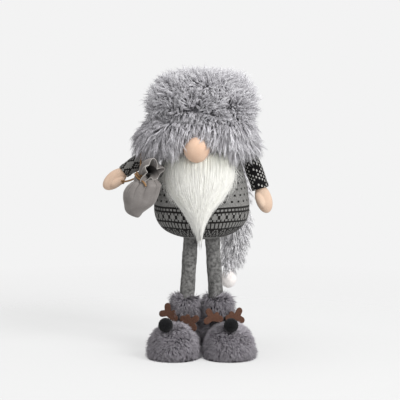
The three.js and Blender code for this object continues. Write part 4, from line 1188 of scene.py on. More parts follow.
def outside_dome(centre_y, radius, swell, top, side):
    """A test for points outside a dome, 1 outside and 0 inside."""

    def test(points, normals):
        c, s = np.cos(side * BOOT_SPLAY), np.sin(side * BOOT_SPLAY)
        p = points - AXIS - [side * ANKLE_SPACING / 2, 0, 0]
        x, y = c * p[:, 0] + s * p[:, 1], -s * p[:, 0] + c * p[:, 1] - centre_y
        return ((x**2 + y**2) / radius**2 + ((p[:, 2] - swell) / (top - swell)) ** 2 > 1) * 1.0

    return test


def ankle_surface(side, depth):
    """The ankle roll: a ring of rounded section, set off to the outside of the leg."""
    size = ANKLE_ROLL

    def surface(u, v):
        a, b = 2 * np.pi * u, 2 * np.pi * v
        across = np.sign(np.cos(b)) * np.abs(np.cos(b)) ** 0.75
        up = np.sign(np.sin(b)) * np.abs(np.sin(b)) ** 0.75
        outer, inner = size["radius"] - depth, size["inner"]
        radius = (outer + inner) / 2 + across * (outer - inner) / 2
        shift = side * size["shift"] * (radius - inner) / (outer - inner)
        z = size["bottom"] + depth + (size["height"] - 2 * depth) * (1 + up) / 2
        return from_boot(np.stack([shift + radius * np.cos(a), radius * np.sin(a), z], axis=-1), side)

    return surface


# %% [markdown]
# Boot fur is a short plush, longer on the heel and round the ankle, and longest where the two heels
# face each other. The heel's pile is painted darker all round, as shade for the gap between the boots.

# %% Fur of the boots
TOE = (-TOE_REACH, TOE_RADIUS, TOE_SWELL, TOE_HEIGHT)
HEEL = (0, HEEL_RADIUS, HEEL_SWELL, INSTEP_HEIGHT)
BOOT_STYLE = {
    "locks": 4200, "length": 11 * MM, "rise": 0.4, "droop": 55, "away": 0.3, "tousle": 0.5,
    "swirl": 0.6, "patch": 28 * MM, "stray": 0.45, "wave": 0.7 * MM, "turns": 0.6, "gather": 0.22,
    "frizz": 1.0 * MM, "steps": 3,
}
# The heel's low tone is painted shade: it darkens the gap between the two boots.
HEEL_SHADED_STYLE = {**BOOT_STYLE, "locks": 900, "length": 15 * MM, "tone": -0.5}
ANKLE_STYLE = {**BOOT_STYLE, "locks": 2400, "length": 14 * MM}
BOOT_PILE = {"thickness": 0.75 * MM, "material": BOOT_FUR}
TOE_STRANDS, HEEL_STRANDS, ANKLE_STRANDS = 15000, 3800, 7600
HEEL_FUR_DEPTH = 3 * MM


def longer_below(points, normals):
    """The pile of the toe spreads a little where it meets the floor."""
    return 1 + 0.5 * np.clip(1 - points[:, 2] / (26 * MM), 0, 1)


def longer_between(side):
    """Longer pile where a boot faces the other one, so that the two meet."""
    return lambda points, normals: 1 + 0.9 * np.clip(-side * normals[:, 0] * 1.4 - 0.3, 0, 1)


for name, side in SIDES.items():
    parts = [
        skin(f"{name}_boot_upper_{part}", grid(dome(*shape, depth, side), 30, 40), BOOT_BACKING)
        for part, shape, depth in (("toe", TOE, BOOT_FUR_DEPTH), ("heel", HEEL, HEEL_FUR_DEPTH))
    ]
    upper = fused(joined(f"{name}_boot_upper_cloth", parts), voxel=2.5 * MM)
    toe_fur = plant(
        f"{name}_boot_toe_fur", dome(*TOE, BOOT_FUR_DEPTH, side), TOE_STRANDS, BOOT_STYLE, 50 + side,
        outside_dome(*HEEL, side), length_at=longer_below, **BOOT_PILE,
    )
    heel_fur = plant(
        f"{name}_boot_heel_fur", dome(*HEEL, HEEL_FUR_DEPTH, side), HEEL_STRANDS, HEEL_SHADED_STYLE, 54 + side,
        outside_dome(*TOE, side), length_at=longer_between(side), **BOOT_PILE,
    )
    ankle = ankle_surface(side, BOOT_FUR_DEPTH)
    roll_cloth = skin(f"{name}_boot_roll_cloth", looped(ankle, 48, 16), BOOT_BACKING, loop=True)
    roll_fur = plant(f"{name}_boot_roll_fur", ankle, ANKLE_STRANDS, ANKLE_STYLE, 58 + side, **BOOT_PILE)
    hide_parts(f"{name}_boot_upper")
    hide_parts(f"{name}_boot_roll")
    for piece in (upper, roll_cloth, toe_fur, heel_fur, roll_fur):
        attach(piece, "root")


# %% [markdown]
# ## Antlers and pompoms on the boots
# The boots carry die-cut felt antlers and black pompoms of wound yarn. An antler is flat felt: its
# outline comes from a few round-ended bars laid over each other, and each ray from the fork goes out
# to the last place that is still inside one of them.

# %% Felt antlers
FELT_THICKNESS = 2.6 * MM
STEM = {"width": 12.5 * MM, "length": 16 * MM}
LOBE = {"width": 11.5 * MM, "length": 11.5 * MM}
ANTLER_LEAN = np.radians(10)
ANTLER_BASE = np.array([8, -31, 64]) * MM
ANTLER_RISE = {
    ("right", "outer"): np.radians(31),
    ("right", "inner"): np.radians(-14),
    ("left", "outer"): np.radians(6),
    ("left", "inner"): np.radians(14),
}


def antler_outline(count=150):
    """Distances from the fork to the outline. A bar's inside is where the distance to its middle
    line is less than half its width; the outline is the furthest such place on each ray."""
    angle = angles_round(count)
    out = np.linspace(0, 26 * MM, 400)
    x = STEM["length"] + out[None] * np.cos(angle)[:, None]
    y = out[None] * np.sin(angle)[:, None]
    inside = np.zeros(x.shape, bool)
    bars = [
        (0, 0, STEM["length"], STEM["width"]),
        (STEM["length"], 50, LOBE["length"], LOBE["width"]),
        (STEM["length"], -42, LOBE["length"], LOBE["width"]),
        (STEM["length"] * 0.3, 70, LOBE["length"] * 0.6, LOBE["width"] * 0.8),
    ]
    for start, turn, length, width in bars:
        c, s = np.cos(np.radians(turn)), np.sin(np.radians(turn))
        along = np.clip((x - start) * c + y * s, 0, length)
        inside |= np.hypot(x - start - along * c, y - along * s) < width / 2
    reach = np.where(inside, out[None], 0).max(1)
    reach = (np.roll(reach, 1) + 2 * reach + np.roll(reach, -1)) / 4
    return np.stack([STEM["length"] + reach * np.cos(angle), reach * np.sin(angle)], axis=1)


def antler_rings():
    """The outline from the middle of one face out to the edge, round it and back on the other face.
    Each ring is the outline drawn towards the fork, at its own height."""
    outline = antler_outline()
    fork = np.array([STEM["length"], 0])
    half = FELT_THICKNESS / 2
    share = np.array([0.05, 0.35, 0.7, 0.93, 0.985, 1.0, 0.985, 0.93, 0.7, 0.35, 0.05])
    level = np.array([1, 1, 1, 1, 0.62, 0, -0.62, -1, -1, -1, -1]) * half
    rings = fork + (outline[None] - fork) * share[:, None, None]
    z = np.broadcast_to(level[:, None], rings.shape[:2])
    return np.concatenate([rings, z[..., None]], axis=-1)


def stood_up(points, rise, grows, side):
    """A flat antler turned by its rise, stood up with a lean, mirrored where it grows to the other
    side, and put on the boot between toe and ankle roll."""
    x, y, z = points[..., 0], points[..., 1], points[..., 2]
    x, y = x * np.cos(rise) - y * np.sin(rise), x * np.sin(rise) + y * np.cos(rise)
    lean = np.pi / 2 - ANTLER_LEAN
    y, z = y * np.cos(lean) - z * np.sin(lean), y * np.sin(lean) + z * np.cos(lean)
    placed = np.stack([x, y, z], axis=-1) + ANTLER_BASE
    return from_boot(placed * [grows, 1, 1], side)


def felt_material():
    """Dark brown felt: matted fibres, a little paler where it is rubbed."""
    material, tree, shader = new_material("antler_felt", roughness=1.0, sheen=0.35, specular=0.05)
    mat, fibre = noise(tree, 500, 5), noise(tree, 2400, 2)
    base = clouded(tree, mat, 0.3, 0.7, linear(66, 44, 35), linear(98, 69, 56))
    paint(tree, shader, clouded(tree, fibre, 0.4, 0.8, base, linear(116, 86, 72)))
    add_bump(tree, shader, fibre + mat, 0.4 * MM)
    return material


FELT = felt_material()
for (name, place), rise in ANTLER_RISE.items():
    side = SIDES[name]
    grows = side if place == "outer" else -side
    antler = skin(f"{name}_{place}_antler_felt", stood_up(antler_rings(), rise, grows, side), FELT)
    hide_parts(f"{name}_boot_{place}_antler")
    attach(antler, "root")
print("antlers", len(antler.data.polygons), "faces each")


# %% [markdown]
# A pompom here is a ball of wound black yarn. Single threads would be too fine to see, so the yarn
# shows as ribs that run from pole to pole with a twist.

# %% Pompoms
def yarn_material():
    """Near-black yarn: ridges along the winding catch a little light."""
    material, tree, shader = new_material("pompom_yarn", roughness=0.9, sheen=0.12, specular=0.15)
    fibre = noise(tree, 700, 3)
    paint(tree, shader, clouded(tree, fibre, 0.35, 0.75, linear(8, 8, 9), linear(34, 34, 37)))
    add_bump(tree, shader, fibre, 1.4 * MM)
    return material


def wound_ball(centre, size, rows=60, around=120, ribs=20):
    """An ellipsoid with ribs of yarn that run from pole to pole and twist as they go."""
    v, u = np.meshgrid(np.linspace(-0.495, 0.495, rows) * np.pi, angles_round(around), indexing="ij")
    rib = 0.98 + 0.06 * np.abs(np.cos(ribs / 2 * (u + 0.5 * np.sin(v)))) * np.cos(v) ** 0.5
    ball = np.stack([np.cos(v) * np.cos(u), np.sin(v), np.cos(v) * np.sin(u)], axis=-1) * rib[..., None]
    return centre + ball * size / 2


YARN = yarn_material()
for name in SIDES:
    low, high = corners_of(f"{name}_boot_pompom")
    width = 24 * MM
    centre = np.array([(low[0] + high[0]) / 2, low[1] + width / 2, high[2] - width / 2])
    pompom = skin(f"{name}_pompom_yarn", wound_ball(centre, width * 0.99), YARN)
    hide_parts(f"{name}_boot_pompom")
    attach(pompom, "root")
    print(pompom.name, len(pompom.data.polygons), "faces")

# %% [markdown]
# ## Arms
# A sleeve is a short knit tube with a hem, and a mitten is sewn into its end. The right sleeve is grey
# with a dark motif and the left one black with light dots, as they are cut from different parts of
# the same chart. Arms are worked out hanging straight down and then turned at the shoulder.

# %% Arms
SLEEVE_LENGTH = 60 * MM
SHOULDER_RADIUS = 13.6 * MM
SHOULDER_Z = BODY_BOTTOM + 142 * MM
SHOULDER_X = 66 * MM + 0.3 * MM + SHOULDER_RADIUS
ARMS = {
    "right": {"side": -1, "droop": np.radians(28), "bend": np.radians(11), "end": 11.2 * MM},
    "left": {"side": 1, "droop": np.radians(70), "bend": np.radians(3), "end": 14.8 * MM},
}
FORWARD_LEAN = np.radians(6)
HEM_LENGTH, HEM_STEP, SWELL = 9 * MM, 0.9 * MM, 1.2 * MM


def turn_about(points, axis, angle):
    """Points turned about one of the frame's own axes, 0 for X, 1 for Y and 2 for Z."""
    first, second = (axis + 1) % 3, (axis + 2) % 3
    turned_points = np.array(points, float)
    c, s = np.cos(angle), np.sin(angle)
    turned_points[..., first] = c * points[..., first] - s * points[..., second]
    turned_points[..., second] = s * points[..., first] + c * points[..., second]
    return turned_points


def from_arm(points, arm):
    """From the arm's frame, with the shoulder at the origin and the arm down -Z, to the gnome's."""
    leaned = turn_about(points, 0, -FORWARD_LEAN)
    raised = turn_about(leaned, 1, -arm["side"] * (np.pi / 2 - arm["droop"]))
    return raised + AXIS + [arm["side"] * SHOULDER_X, 0, SHOULDER_Z]


def arm_rings(arm, stations, around):
    """Circles square to the sleeve's bowed line, at shares of its length and with their own radii."""
    t, radius = stations[:, :1], stations[:, 1:]
    bow = arm["side"] * SLEEVE_LENGTH / 2 * np.tan(arm["bend"])
    x, z = 2 * t * (1 - t) * bow, -SLEEVE_LENGTH * t
    tangent = unit(np.concatenate([2 * (1 - 2 * t) * bow, 0 * t, 0 * t - SLEEVE_LENGTH], axis=1))
    across = unit(np.cross([0, 1.0, 0], tangent))
    angle = angles_round(around)
    centre = np.concatenate([x, 0 * t, z], axis=1)[:, None]
    ring = across[:, None] * np.cos(angle)[:, None] + np.array([0, 1.0, 0]) * np.sin(angle)[:, None]
    return centre + radius[:, :, None] * ring


def sleeve_stations(arm):
    """Share of the length and radius down the sleeve: round over the shoulder, a slight swell, a
    hem that stands out by its step, and a turned-in end."""
    cap = np.linspace(-np.pi / 2 * 0.97, 0, 12)
    over = [np.sin(cap) * SHOULDER_RADIUS / SLEEVE_LENGTH, SHOULDER_RADIUS * np.cos(cap)]
    t = np.linspace(0.02, 1.0, 44)
    radius = SHOULDER_RADIUS + (arm["end"] - HEM_STEP - SHOULDER_RADIUS) * t + SWELL * np.sin(np.pi * t)
    hem = 1 - HEM_LENGTH / SLEEVE_LENGTH
    radius = radius + HEM_STEP * np.clip((t - hem) / 0.02, 0, 1)
    radius = radius - 0.5 * MM * np.exp(-(((t - hem) / 0.012) ** 2))
    edge = radius[-1]
    turned_in = [[1.004, edge - 0.8 * MM], [0.995, edge - 2 * MM], [0.97, edge - 2.6 * MM]]
    return np.concatenate([np.stack(over, axis=1), np.stack([t, radius], axis=1), turned_in])


def grey_sleeve_chart(column, row):
    """Grey with a blocky dark motif: thick square rings that repeat round and along."""
    ring = (column.wrapped(8) - 4).math("ABSOLUTE") + (row.wrapped(6) - 2).math("ABSOLUTE")
    return ring.within(2, 4).either(ring.is_at(0))


def dark_sleeve_chart(column, row):
    """Black with light dots in a staggered grid, apart from plain diamonds."""
    light = (column + row * 2).wrapped(4).is_at(0)
    aside, away = from_middle(column, row.wrapped(8), 12, 3.5, 1.5)
    return light * (aside + away).within(2.6, 5.2).math("LESS_THAN", 0.5) * -1 + 1


SLEEVE_KNIT = {
    "right": knit_material("right_sleeve_knit", KNIT_LIGHT, KNIT_DARK, grey_sleeve_chart, marl=0.3),
    "left": knit_material("left_sleeve_knit", linear(214, 212, 208), linear(26, 25, 26), dark_sleeve_chart),
}
SLEEVE_STITCHES = 40
for name, arm in ARMS.items():
    rings = from_arm(arm_rings(arm, sleeve_stations(arm), 64), arm)
    rows = lengths_along(rings.mean(1)) / ROW
    sleeve = skin(f"{name}_sleeve_knit", rings, SLEEVE_KNIT[name], (SLEEVE_STITCHES, 1), along=rows)
    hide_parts(f"{name}_sleeve")
    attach(sleeve, f"{name}_arm")

# %% [markdown]
# ## Hands and nose
# Mittens and nose are stuffed skin-coloured tricot, brushed on the outside. A mitten is a paddle with
# a thumb over its palm; both are grown into one skin and smoothed, as one cut of cloth would be.

# %% Hands
HAND = {"length": 43 * MM, "width": 28 * MM, "depth": 22 * MM}
THUMB = {"length": 28 * MM, "radius": 7.2 * MM, "turn": np.radians(40), "lean": np.radians(-10)}
WRIST_RADIUS, WRIST_DEPTH = 7.5 * MM, 9 * MM


def tricot_material(name, pale, warm):
    """Brushed tricot: soft cloudy colour, a very fine grain and a pale nap at its edges."""
    material, tree, shader = new_material(name, roughness=0.9, sheen=0.35, specular=0.15)
    cloud, grain = noise(tree, 70, 3), noise(tree, 2200, 2)
    base = clouded(tree, cloud, 0.3, 0.7, pale, warm)
    shade = tuple(0.8 * c for c in warm[:3]) + (1.0,)
    paint(tree, shader, clouded(tree, grain, 0.45, 0.9, base, shade))
    add_bump(tree, shader, grain + noise(tree, 300, 3), 0.25 * MM)
    return material


SKIN_FELT = tricot_material("skin_tricot", linear(230, 204, 182), linear(221, 191, 168))
NOSE_FELT = tricot_material("nose_tricot", linear(238, 205, 180), linear(232, 195, 168))


def hand_parts(arm):
    """Paddle, thumb and wrist in the arm's frame, each an ellipsoid turned and moved as sewn."""
    side = arm["side"]
    length, width, depth = HAND["length"], HAND["width"], HAND["depth"]
    paddle = ellipsoid_rings([0, 0, 3 * MM - length / 2], [width, depth, length + 6 * MM], 36, 40)
    stand = depth / 2 - THUMB["radius"] * 0.35
    size = [2 * THUMB["radius"], 2 * THUMB["radius"], THUMB["length"]]
    thumb = turn_about(ellipsoid_rings([0, 0, 0], size, 24, 28), 1, side * THUMB["lean"])
    thumb = turn_about(thumb + [0, -stand - 1.8 * MM, -length * 0.42], 2, -side * THUMB["turn"])
    neck = ellipsoid_rings([0, 0, 0], [2.6 * WRIST_RADIUS, 2.4 * WRIST_RADIUS, 2 * WRIST_DEPTH], 20, 28)
    bend, wrist = side * arm["bend"], [0, 0, -SLEEVE_LENGTH]
    return [from_arm(turn_about(part, 1, bend) + wrist, arm) for part in (paddle, thumb, neck)]


for name, arm in ARMS.items():
    parts = [skin(f"{name}_hand_{k}", rings, SKIN_FELT) for k, rings in enumerate(hand_parts(arm))]
    hand = fused(joined(f"{name}_hand_mitten", parts), voxel=0.8 * MM, smoothing=3)
    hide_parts(f"{name}_hand")
    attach(hand, f"{name}_arm")
    print(hand.name, len(hand.data.polygons), "faces")

# %% [markdown]
# The nose is a stuffed ball of the same tricot as the hands, in a warmer tone. An ellipsoid with
# faint lumps is enough, and its size and place come from the frame's own nose.

# %% Nose
nose_rings = ellipsoid_rings(NOSE_CENTRE + [0, 1.5 * MM, 0], NOSE_SIZE + [0, 3 * MM, 0], 60, 80)
nose_rings = lumpy(nose_rings, NOSE_CENTRE, np.random.default_rng(60), 0.35 * MM, 24 * MM)
nose = skin("nose_tricot_ball", nose_rings, NOSE_FELT)
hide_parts("nose")
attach(nose, "root")
print("nose", len(nose.data.polygons), "faces")

# %% [markdown]
# ## Beard
# The beard is a flap of long straight pile, sewn on under the nose and combed to a point. Across the
# flap a strand keeps its share of the half width, so all strands draw together at the tip. They
# start at many heights, and outer ones lie over inner ones.

# %% Beard
BEARD_TOP = corners_of("beard")[1][2]
BEARD_LENGTH = BEARD_TOP - corners_of("beard")[0][2]
BEARD_HALF = 57 * MM
BEARD_THICKNESS = 19 * MM
BEARD_TIP_SHIFT = -3 * MM
BEARD_DRAWN_IN = 8 * MM
BEARD_STRANDS, LOOSE_STRANDS = 5800, 420
BEARD_STRAND, LOOSE_STRAND = 1.05 * MM, 0.7 * MM
# Share of the length from the top, and share of the half width there.
BEARD_OUTLINE = np.array(
    [
        [0, 0.95], [0.13, 1.04], [0.26, 1.03], [0.37, 0.9], [0.48, 0.69],
        [0.58, 0.45], [0.72, 0.24], [0.87, 0.11], [1, 0.05],
    ]
)


def beard_point(across, down, depth):
    """A place on the beard: across from -1 to 1 of the half width at that height, down from 0 at the
    seam to 1 at the tip, and depth out from the chest as a share of the beard's thickness. The
    left side is drawn in by a half sine wave down its length."""
    half = BEARD_HALF * np.interp(down, BEARD_OUTLINE[:, 0], BEARD_OUTLINE[:, 1])
    drawn_in = BEARD_DRAWN_IN * np.sin(np.pi * np.clip(down, 0, 1) ** 0.85)
    half = half - np.where(across > 0, drawn_in, 0.0)
    height = BEARD_TOP - BEARD_LENGTH * down
    x = across * half + BEARD_TIP_SHIFT * down
    low = BODY_BOTTOM + 54 * MM
    below = BELLY_RADIUS - 6 * MM * np.clip((low - height) / (80 * MM), 0, 1)
    chest = np.where(height > low, body_radius(np.maximum(height, low)), below)
    thick = BEARD_THICKNESS * (1 - 0.65 * down) * np.sqrt(np.clip(1 - 0.85 * across**2, 0.05, 1))
    out = chest + 0.6 * MM + depth * thick
    y = -np.sqrt(np.maximum(out**2 - x**2, (0.3 * out) ** 2))
    return AXIS + np.stack([x, y, height], axis=-1)


def beard_cloth_rings(rows=60, around=48):
    """The flap's cloth: a thin flattened tube whose back lies on the chest."""
    v, u = np.meshgrid(np.linspace(0.0, 0.9, rows), angles_round(around), indexing="ij")
    across = 0.86 * np.sign(np.cos(u)) * np.abs(np.cos(u)) ** 0.7
    depth = 0.25 + 0.22 * np.sin(u)
    return beard_point(across, v, depth)


# %% [markdown]
# Combed pile isn't even: strands start at many heights and part into wisps near the tip, and a few
# thin hairs stand off the edges. Both kinds are lines in the flap's own measure of across and down.

# %% Beard strands
def beard_strands(count, rng, steps=7):
    """Each strand has its share across, its start and its end, and a lane that it is drawn to as it
    goes down. Nearly half start at the seam. Its depth rises to its layer and sinks again at the
    end. Near the tip the strands part into two wisps, and some outer ones stand away."""
    across = rng.uniform(-1.03, 1.03, count)
    seam = rng.random(count) < 0.45
    start = np.where(seam, rng.uniform(-0.03, 0.05, count), 0.6 * rng.random(count) ** 1.2)
    last = np.where(rng.random(count) < 0.06, rng.uniform(0.9, 1.02, count), rng.uniform(0.76, 0.9, count))
    end = np.minimum(start + rng.uniform(0.35, 0.75, count), last)
    layer = np.where(rng.random(count) < 0.2, rng.uniform(0.35, 0.8, count), rng.uniform(0.78, 1.0, count))
    t = np.linspace(0, 1, steps)[None, :]
    down = start[:, None] + (end - start)[:, None] * t
    lanes = 13
    lane = (np.round(across * lanes) + 0.3 * rng.normal(size=count)) / lanes
    drawn = 0.62 * np.clip(down * 1.15 - 0.1, 0, 1)
    spread = across[:, None] * (1 - drawn) + lane[:, None] * drawn
    spread = spread + 0.04 * np.sin(down * 8 + rng.uniform(0, 2 * np.pi, count)[:, None]) * down
    apart = np.clip((down - 0.74) / 0.2, 0, 0.8) * (last < 0.9)[:, None]
    spread = spread * (1 - 0.6 * apart) + 0.45 * apart * np.sign(across)[:, None]
    loose = (rng.random(count) < 0.16) * np.abs(across) ** 2 * np.sign(across) * rng.uniform(0.05, 0.4, count)
    spread = spread + loose[:, None] * t**2
    depth = layer[:, None] * (0.62 + 0.38 * np.sin(np.pi * np.clip(t * 0.85 + 0.12, 0, 1)))
    paths = beard_point(spread, np.clip(down, -0.03, 1.03), depth)
    tone = np.clip(0.6 + 0.16 * np.sin(lane * 37) + 0.2 * rng.normal(size=count), 0, 1)
    return paths, tone


def stray_strands(count, rng, steps=7):
    """Thin loose hairs along both edges: each starts inside the edge and bends past it, as the square
    of how far along it is."""
    side = rng.choice([-1.0, 1.0], count)
    across = side * rng.uniform(0.7, 1.0, count)
    start = rng.uniform(0.02, 0.5, count)
    t = np.linspace(0, 1, steps)[None, :]
    down = start[:, None] + rng.uniform(0.2, 0.4, (count, 1)) * t
    spread = across[:, None] + side[:, None] * rng.uniform(0.1, 0.6, (count, 1)) * t**2
    paths = beard_point(spread, down, rng.uniform(0.7, 1.0, (count, 1)) * (1 - 0.25 * t))
    return paths, rng.uniform(0.3, 1.0, count)


BEARD_FUR = fur_material(
    "beard_fur", linear(236, 236, 226), linear(249, 248, 243), linear(252, 252, 249), sheen=0.1, roughness=0.5
)
BEARD_BACKING = backing_material("beard_backing", linear(232, 231, 222), linear(245, 244, 238))
beard_cloth = skin("beard_cloth", beard_cloth_rings(), BEARD_BACKING)
beard_rng = np.random.default_rng(70)
paths, tone = beard_strands(BEARD_STRANDS, beard_rng)
beard_hair = strands("beard_hair", paths, BEARD_STRAND, tone, BEARD_FUR, beard_rng, blunt=0.7)
paths, tone = stray_strands(LOOSE_STRANDS, beard_rng)
stray_hair = strands("beard_stray_hair", paths, LOOSE_STRAND, tone, BEARD_FUR, beard_rng, blunt=0.7)
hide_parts("beard")
for piece in (beard_cloth, beard_hair, stray_hair):
    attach(piece, "beard")
print("beard", len(beard_hair.data.polygons), "faces")

# %% [markdown]
# ## Gift sack
# The sack is one tube of velvet, closed at the bottom, filled, and gathered at its neck under two
# turns of twine. Below the neck the gathers open into pleats; above it the cloth flares into a mouth
# whose cut edge folds in and out. The pouch is a stack of rings whose radius has pleats in it, and
# the mouth is a sheet carried along a line that leans over, with folds that deepen to the edge.

# %% Sack pouch
NECK = AXIS + np.array([-102, -60, 112]) * MM + [0, 0, BODY_BOTTOM]
NECK_TILT = np.radians(45)
NECK_RADIUS, NECK_ABOVE, NECK_BELOW = 5.6 * MM, 4.2 * MM, 6.6 * MM
SACK = {"width": 60 * MM, "depth": 46 * MM, "drop": 71.5 * MM}
# Rings of the pouch: share of the drop, shift to the side in millimetres, share of half the width,
# depth of pleats and share of the neck's tilt.
POUCH_RINGS = [
    (0.985, -4.4, 0.03, 0.0, 0),
    (0.976, -4.9, 0.1, 0.0, 0),
    (0.935, -7, 0.27, 0.0, 0),
    (0.87, -8.8, 0.45, 0.0, 0),
    (0.783, -7, 0.64, 0.0, 0),
    (0.669, -2.6, 0.825, 0.003, 0),
    (0.531, 0, 0.95, 0.006, 0),
    (0.392, 2.2, 0.993, 0.025, 0),
    (0.3, 4.4, 0.955, 0.045, 0),
    (0.224, 7.2, 0.89, 0.07, 0),
    (0.145, 7.8, 0.69, 0.11, -0.04),
    (0.1, 6, 0.52, 0.15, -0.12),
]


def velvet_material():
    """Grey velvet: a soft nap that is darker seen straight on and pale at its edges, with a drifting
    cloudiness where the nap has been stroked another way. Painted shade darkens the pouch's folds and
    the side of the mouth that faces in, most towards the neck, and the cut edge is pale."""
    material, tree, shader = new_material(
        "grey_velvet", roughness=0.95, sheen=0.7, sheen_tint=linear(222, 218, 214), specular=0.05
    )
    stroke, nap = noise(tree, 60, 4), noise(tree, 2600, 2)
    base = clouded(tree, stroke, 0.3, 0.7, linear(130, 125, 122), linear(156, 151, 148))
    base = clouded(tree, nap, 0.4, 0.8, base, linear(112, 107, 105))
    # Painted shade: the fold number darkens the pleats' valleys.
    base = mixed(tree, kept(tree, "fold") * 0.85, base, linear(40, 38, 38))
    # Painted shade: the inside number darkens the side that faces into the mouth.
    base = mixed(tree, kept(tree, "inside"), base, linear(34, 32, 32))
    paint(tree, shader, mixed(tree, kept(tree, "edge") * 0.55, base, linear(204, 200, 195)))
    add_bump(tree, shader, nap * 0.4 + stroke, 0.35 * MM)
    return material


VELVET = velvet_material()


def keep(piece, **numbers):
    """Numbers for each point of a piece, kept for its material."""
    for name, values in numbers.items():
        attribute = piece.data.attributes.new(name, "FLOAT", "POINT")
        attribute.data.foreach_set("value", np.ravel(values).astype(np.float32))


def tilted(points, share):
    """Points turned about the neck towards the gnome's middle, by a share of the neck's tilt."""
    angle = NECK_TILT * share
    c, s = np.cos(angle), np.sin(angle)
    x, y, z = points[..., 0], points[..., 1], points[..., 2]
    return np.stack([c * x + s * z, y, -s * x + c * z], axis=-1)


def pouch_rings(rows=120, around=180):
    """Rings from the bottom to the neck, on smooth curves through the rows of the table. The pleats
    are valleys that are narrower than the cloth between them. Each point also gets a painted shade,
    strongest in the valleys of deep pleats."""
    flat = SACK["depth"] / SACK["width"]
    table = [
        (-SACK["drop"] * down, x * MM, SACK["width"] / 2 * wide, flat + (1 - flat) * tilt, pleat, tilt)
        for down, x, wide, pleat, tilt in POUCH_RINGS
    ]
    table.append((-NECK_BELOW, 0, NECK_RADIUS, 1, 0.08, 1))
    table.append((NECK_ABOVE, 0, NECK_RADIUS, 1, 0.05, 1))
    z, x, radius, deep, pleat, tilt = (column[:, None] for column in smooth(table, rows).T)
    a = angles_round(around)[None, :]
    uneven = a + 0.22 * np.sin(a + 1) + 0.1 * np.sin(3 * a)
    valley = 1 - 2 * np.abs(np.sin(9 / 2 * uneven)) ** 0.6
    fold = 1 - pleat * (valley + 0.35 * np.sin(4 * a + 2))
    ring = np.stack([x + radius * fold * np.cos(a), radius * fold * deep * np.sin(a), z + 0 * a], axis=-1)
    return NECK + tilted(ring, tilt), np.clip(valley, 0, 1) * np.clip(pleat / 0.1, 0, 1)


pouch_points, pouch_fold_shade = pouch_rings()
pouch_points = lumpy(pouch_points, NECK - [0, 0, 40 * MM], np.random.default_rng(80), 0.5 * MM, 30 * MM)
pouch = skin("sack_pouch", pouch_points, VELVET)
# The fold number is the painted shade in the pleats' valleys, read by the velvet.
keep(pouch, fold=np.append(pouch_fold_shade, [0, 0]))
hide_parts("sack")
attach(pouch, "sack")
print("pouch", len(pouch.data.polygons), "faces")

# %% [markdown]
# The mouth is cloth a little over a millimetre thick. It is worked out as a sheet from the neck to the
# edge and then given its thickness by a Solidify modifier.

# %% Sack mouth
MOUTH_RADIUS, MOUTH_LENGTH = 17 * MM, 28 * MM
MOUTH_FOLD_TURN = np.radians(36)
CLOTH_THICKNESS = 1.2 * MM


def mouth_grid(rows=32, around=160):
    """Rings square to a line that leans over. The radius grows from the neck to the edge, and three
    deep folds with smaller ones between them grow with it."""
    line = bezier(
        (0, 0, NECK_ABOVE * 0.6),
        (0, -2 * MM, MOUTH_LENGTH * 0.5),
        (MOUTH_LENGTH * 0.12, -9 * MM, MOUTH_LENGTH * 0.68),
        (MOUTH_LENGTH * 0.34, -17 * MM, MOUTH_LENGTH * 0.7),
        rows,
    )
    t = np.linspace(0, 1, rows)[:, None]
    a = angles_round(around)[None, :]
    radius = NECK_RADIUS * 0.96 + (MOUTH_RADIUS - NECK_RADIUS) * t**0.7
    lobe = np.cos(3 * a + MOUTH_FOLD_TURN + 0.35 * np.sin(2 * a))
    folds = 0.29 * lobe + 0.19 * np.cos(5 * a + 1.1) + 0.07 * np.cos(8 * a + 0.4)
    radius = radius * (1 + folds * t**0.8)
    line = line[:, None] + 0 * a[..., None]
    along = unit(np.gradient(line, axis=0))
    side = unit(np.cross([0, 1.0, 0], along))
    front = np.cross(along, side)
    ring = side * np.cos(a)[..., None] + front * np.sin(a)[..., None]
    back = along * (2.5 * MM * (lobe * t**2))[..., None]
    return NECK + tilted(line + radius[..., None] * ring - back, np.ones((1, 1)))


def sheet_piece(name, rings, material, thickness):
    """Rings joined into an open sheet, thickened to both sides by Solidify and kept as a mesh. Its
    points keep a painted shade on the side that faces into the mouth, fading out towards the cut
    edge, and whether they lie on the cut edge."""
    rows, around = rings.shape[:2]
    i, j = (a.ravel() for a in np.indices((rows - 1, around)))
    k = (j + 1) % around
    faces = [np.stack([i * around + j, i * around + k, (i + 1) * around + k, (i + 1) * around + j], axis=1)]
    u = np.stack([j, j + 1, j + 1, j], axis=1) / around
    v = np.stack([i, i, i + 1, i + 1], axis=1) / (rows - 1)
    piece = new_piece(name, rings.reshape(-1, 3), faces, material, [np.stack([u, v], axis=-1).reshape(-1, 2)])
    wall = piece.modifiers.new("wall", "SOLIDIFY")
    wall.thickness, wall.offset = thickness, 0
    mesh = bpy.data.meshes.new_from_object(piece.evaluated_get(bpy.context.evaluated_depsgraph_get()))
    piece.modifiers.clear()
    piece.data = mesh
    mesh.shade_smooth()
    points, facing = (np.empty(3 * len(mesh.vertices)) for _ in range(2))
    mesh.vertices.foreach_get("co", points)
    mesh.vertices.foreach_get("normal", facing)
    points, facing = points.reshape(-1, 3), facing.reshape(-1, 3)
    ring = nearest(points, rings.reshape(-1, 3)) // around
    outward = points - rings.mean(1)[ring]
    share = ring / (rows - 1)
    # Painted shade: the side facing into the mouth is darkened, fading out towards the cut edge.
    inner = ((outward * facing).sum(1) < 0) * np.clip((1 - share) * 1.5, 0, 1)
    keep(piece, inside=inner, edge=share > 0.98)
    return piece


mouth_rings = mouth_grid()
mouth = sheet_piece("sack_mouth", mouth_rings, VELVET, CLOTH_THICKNESS)
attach(mouth, "sack")


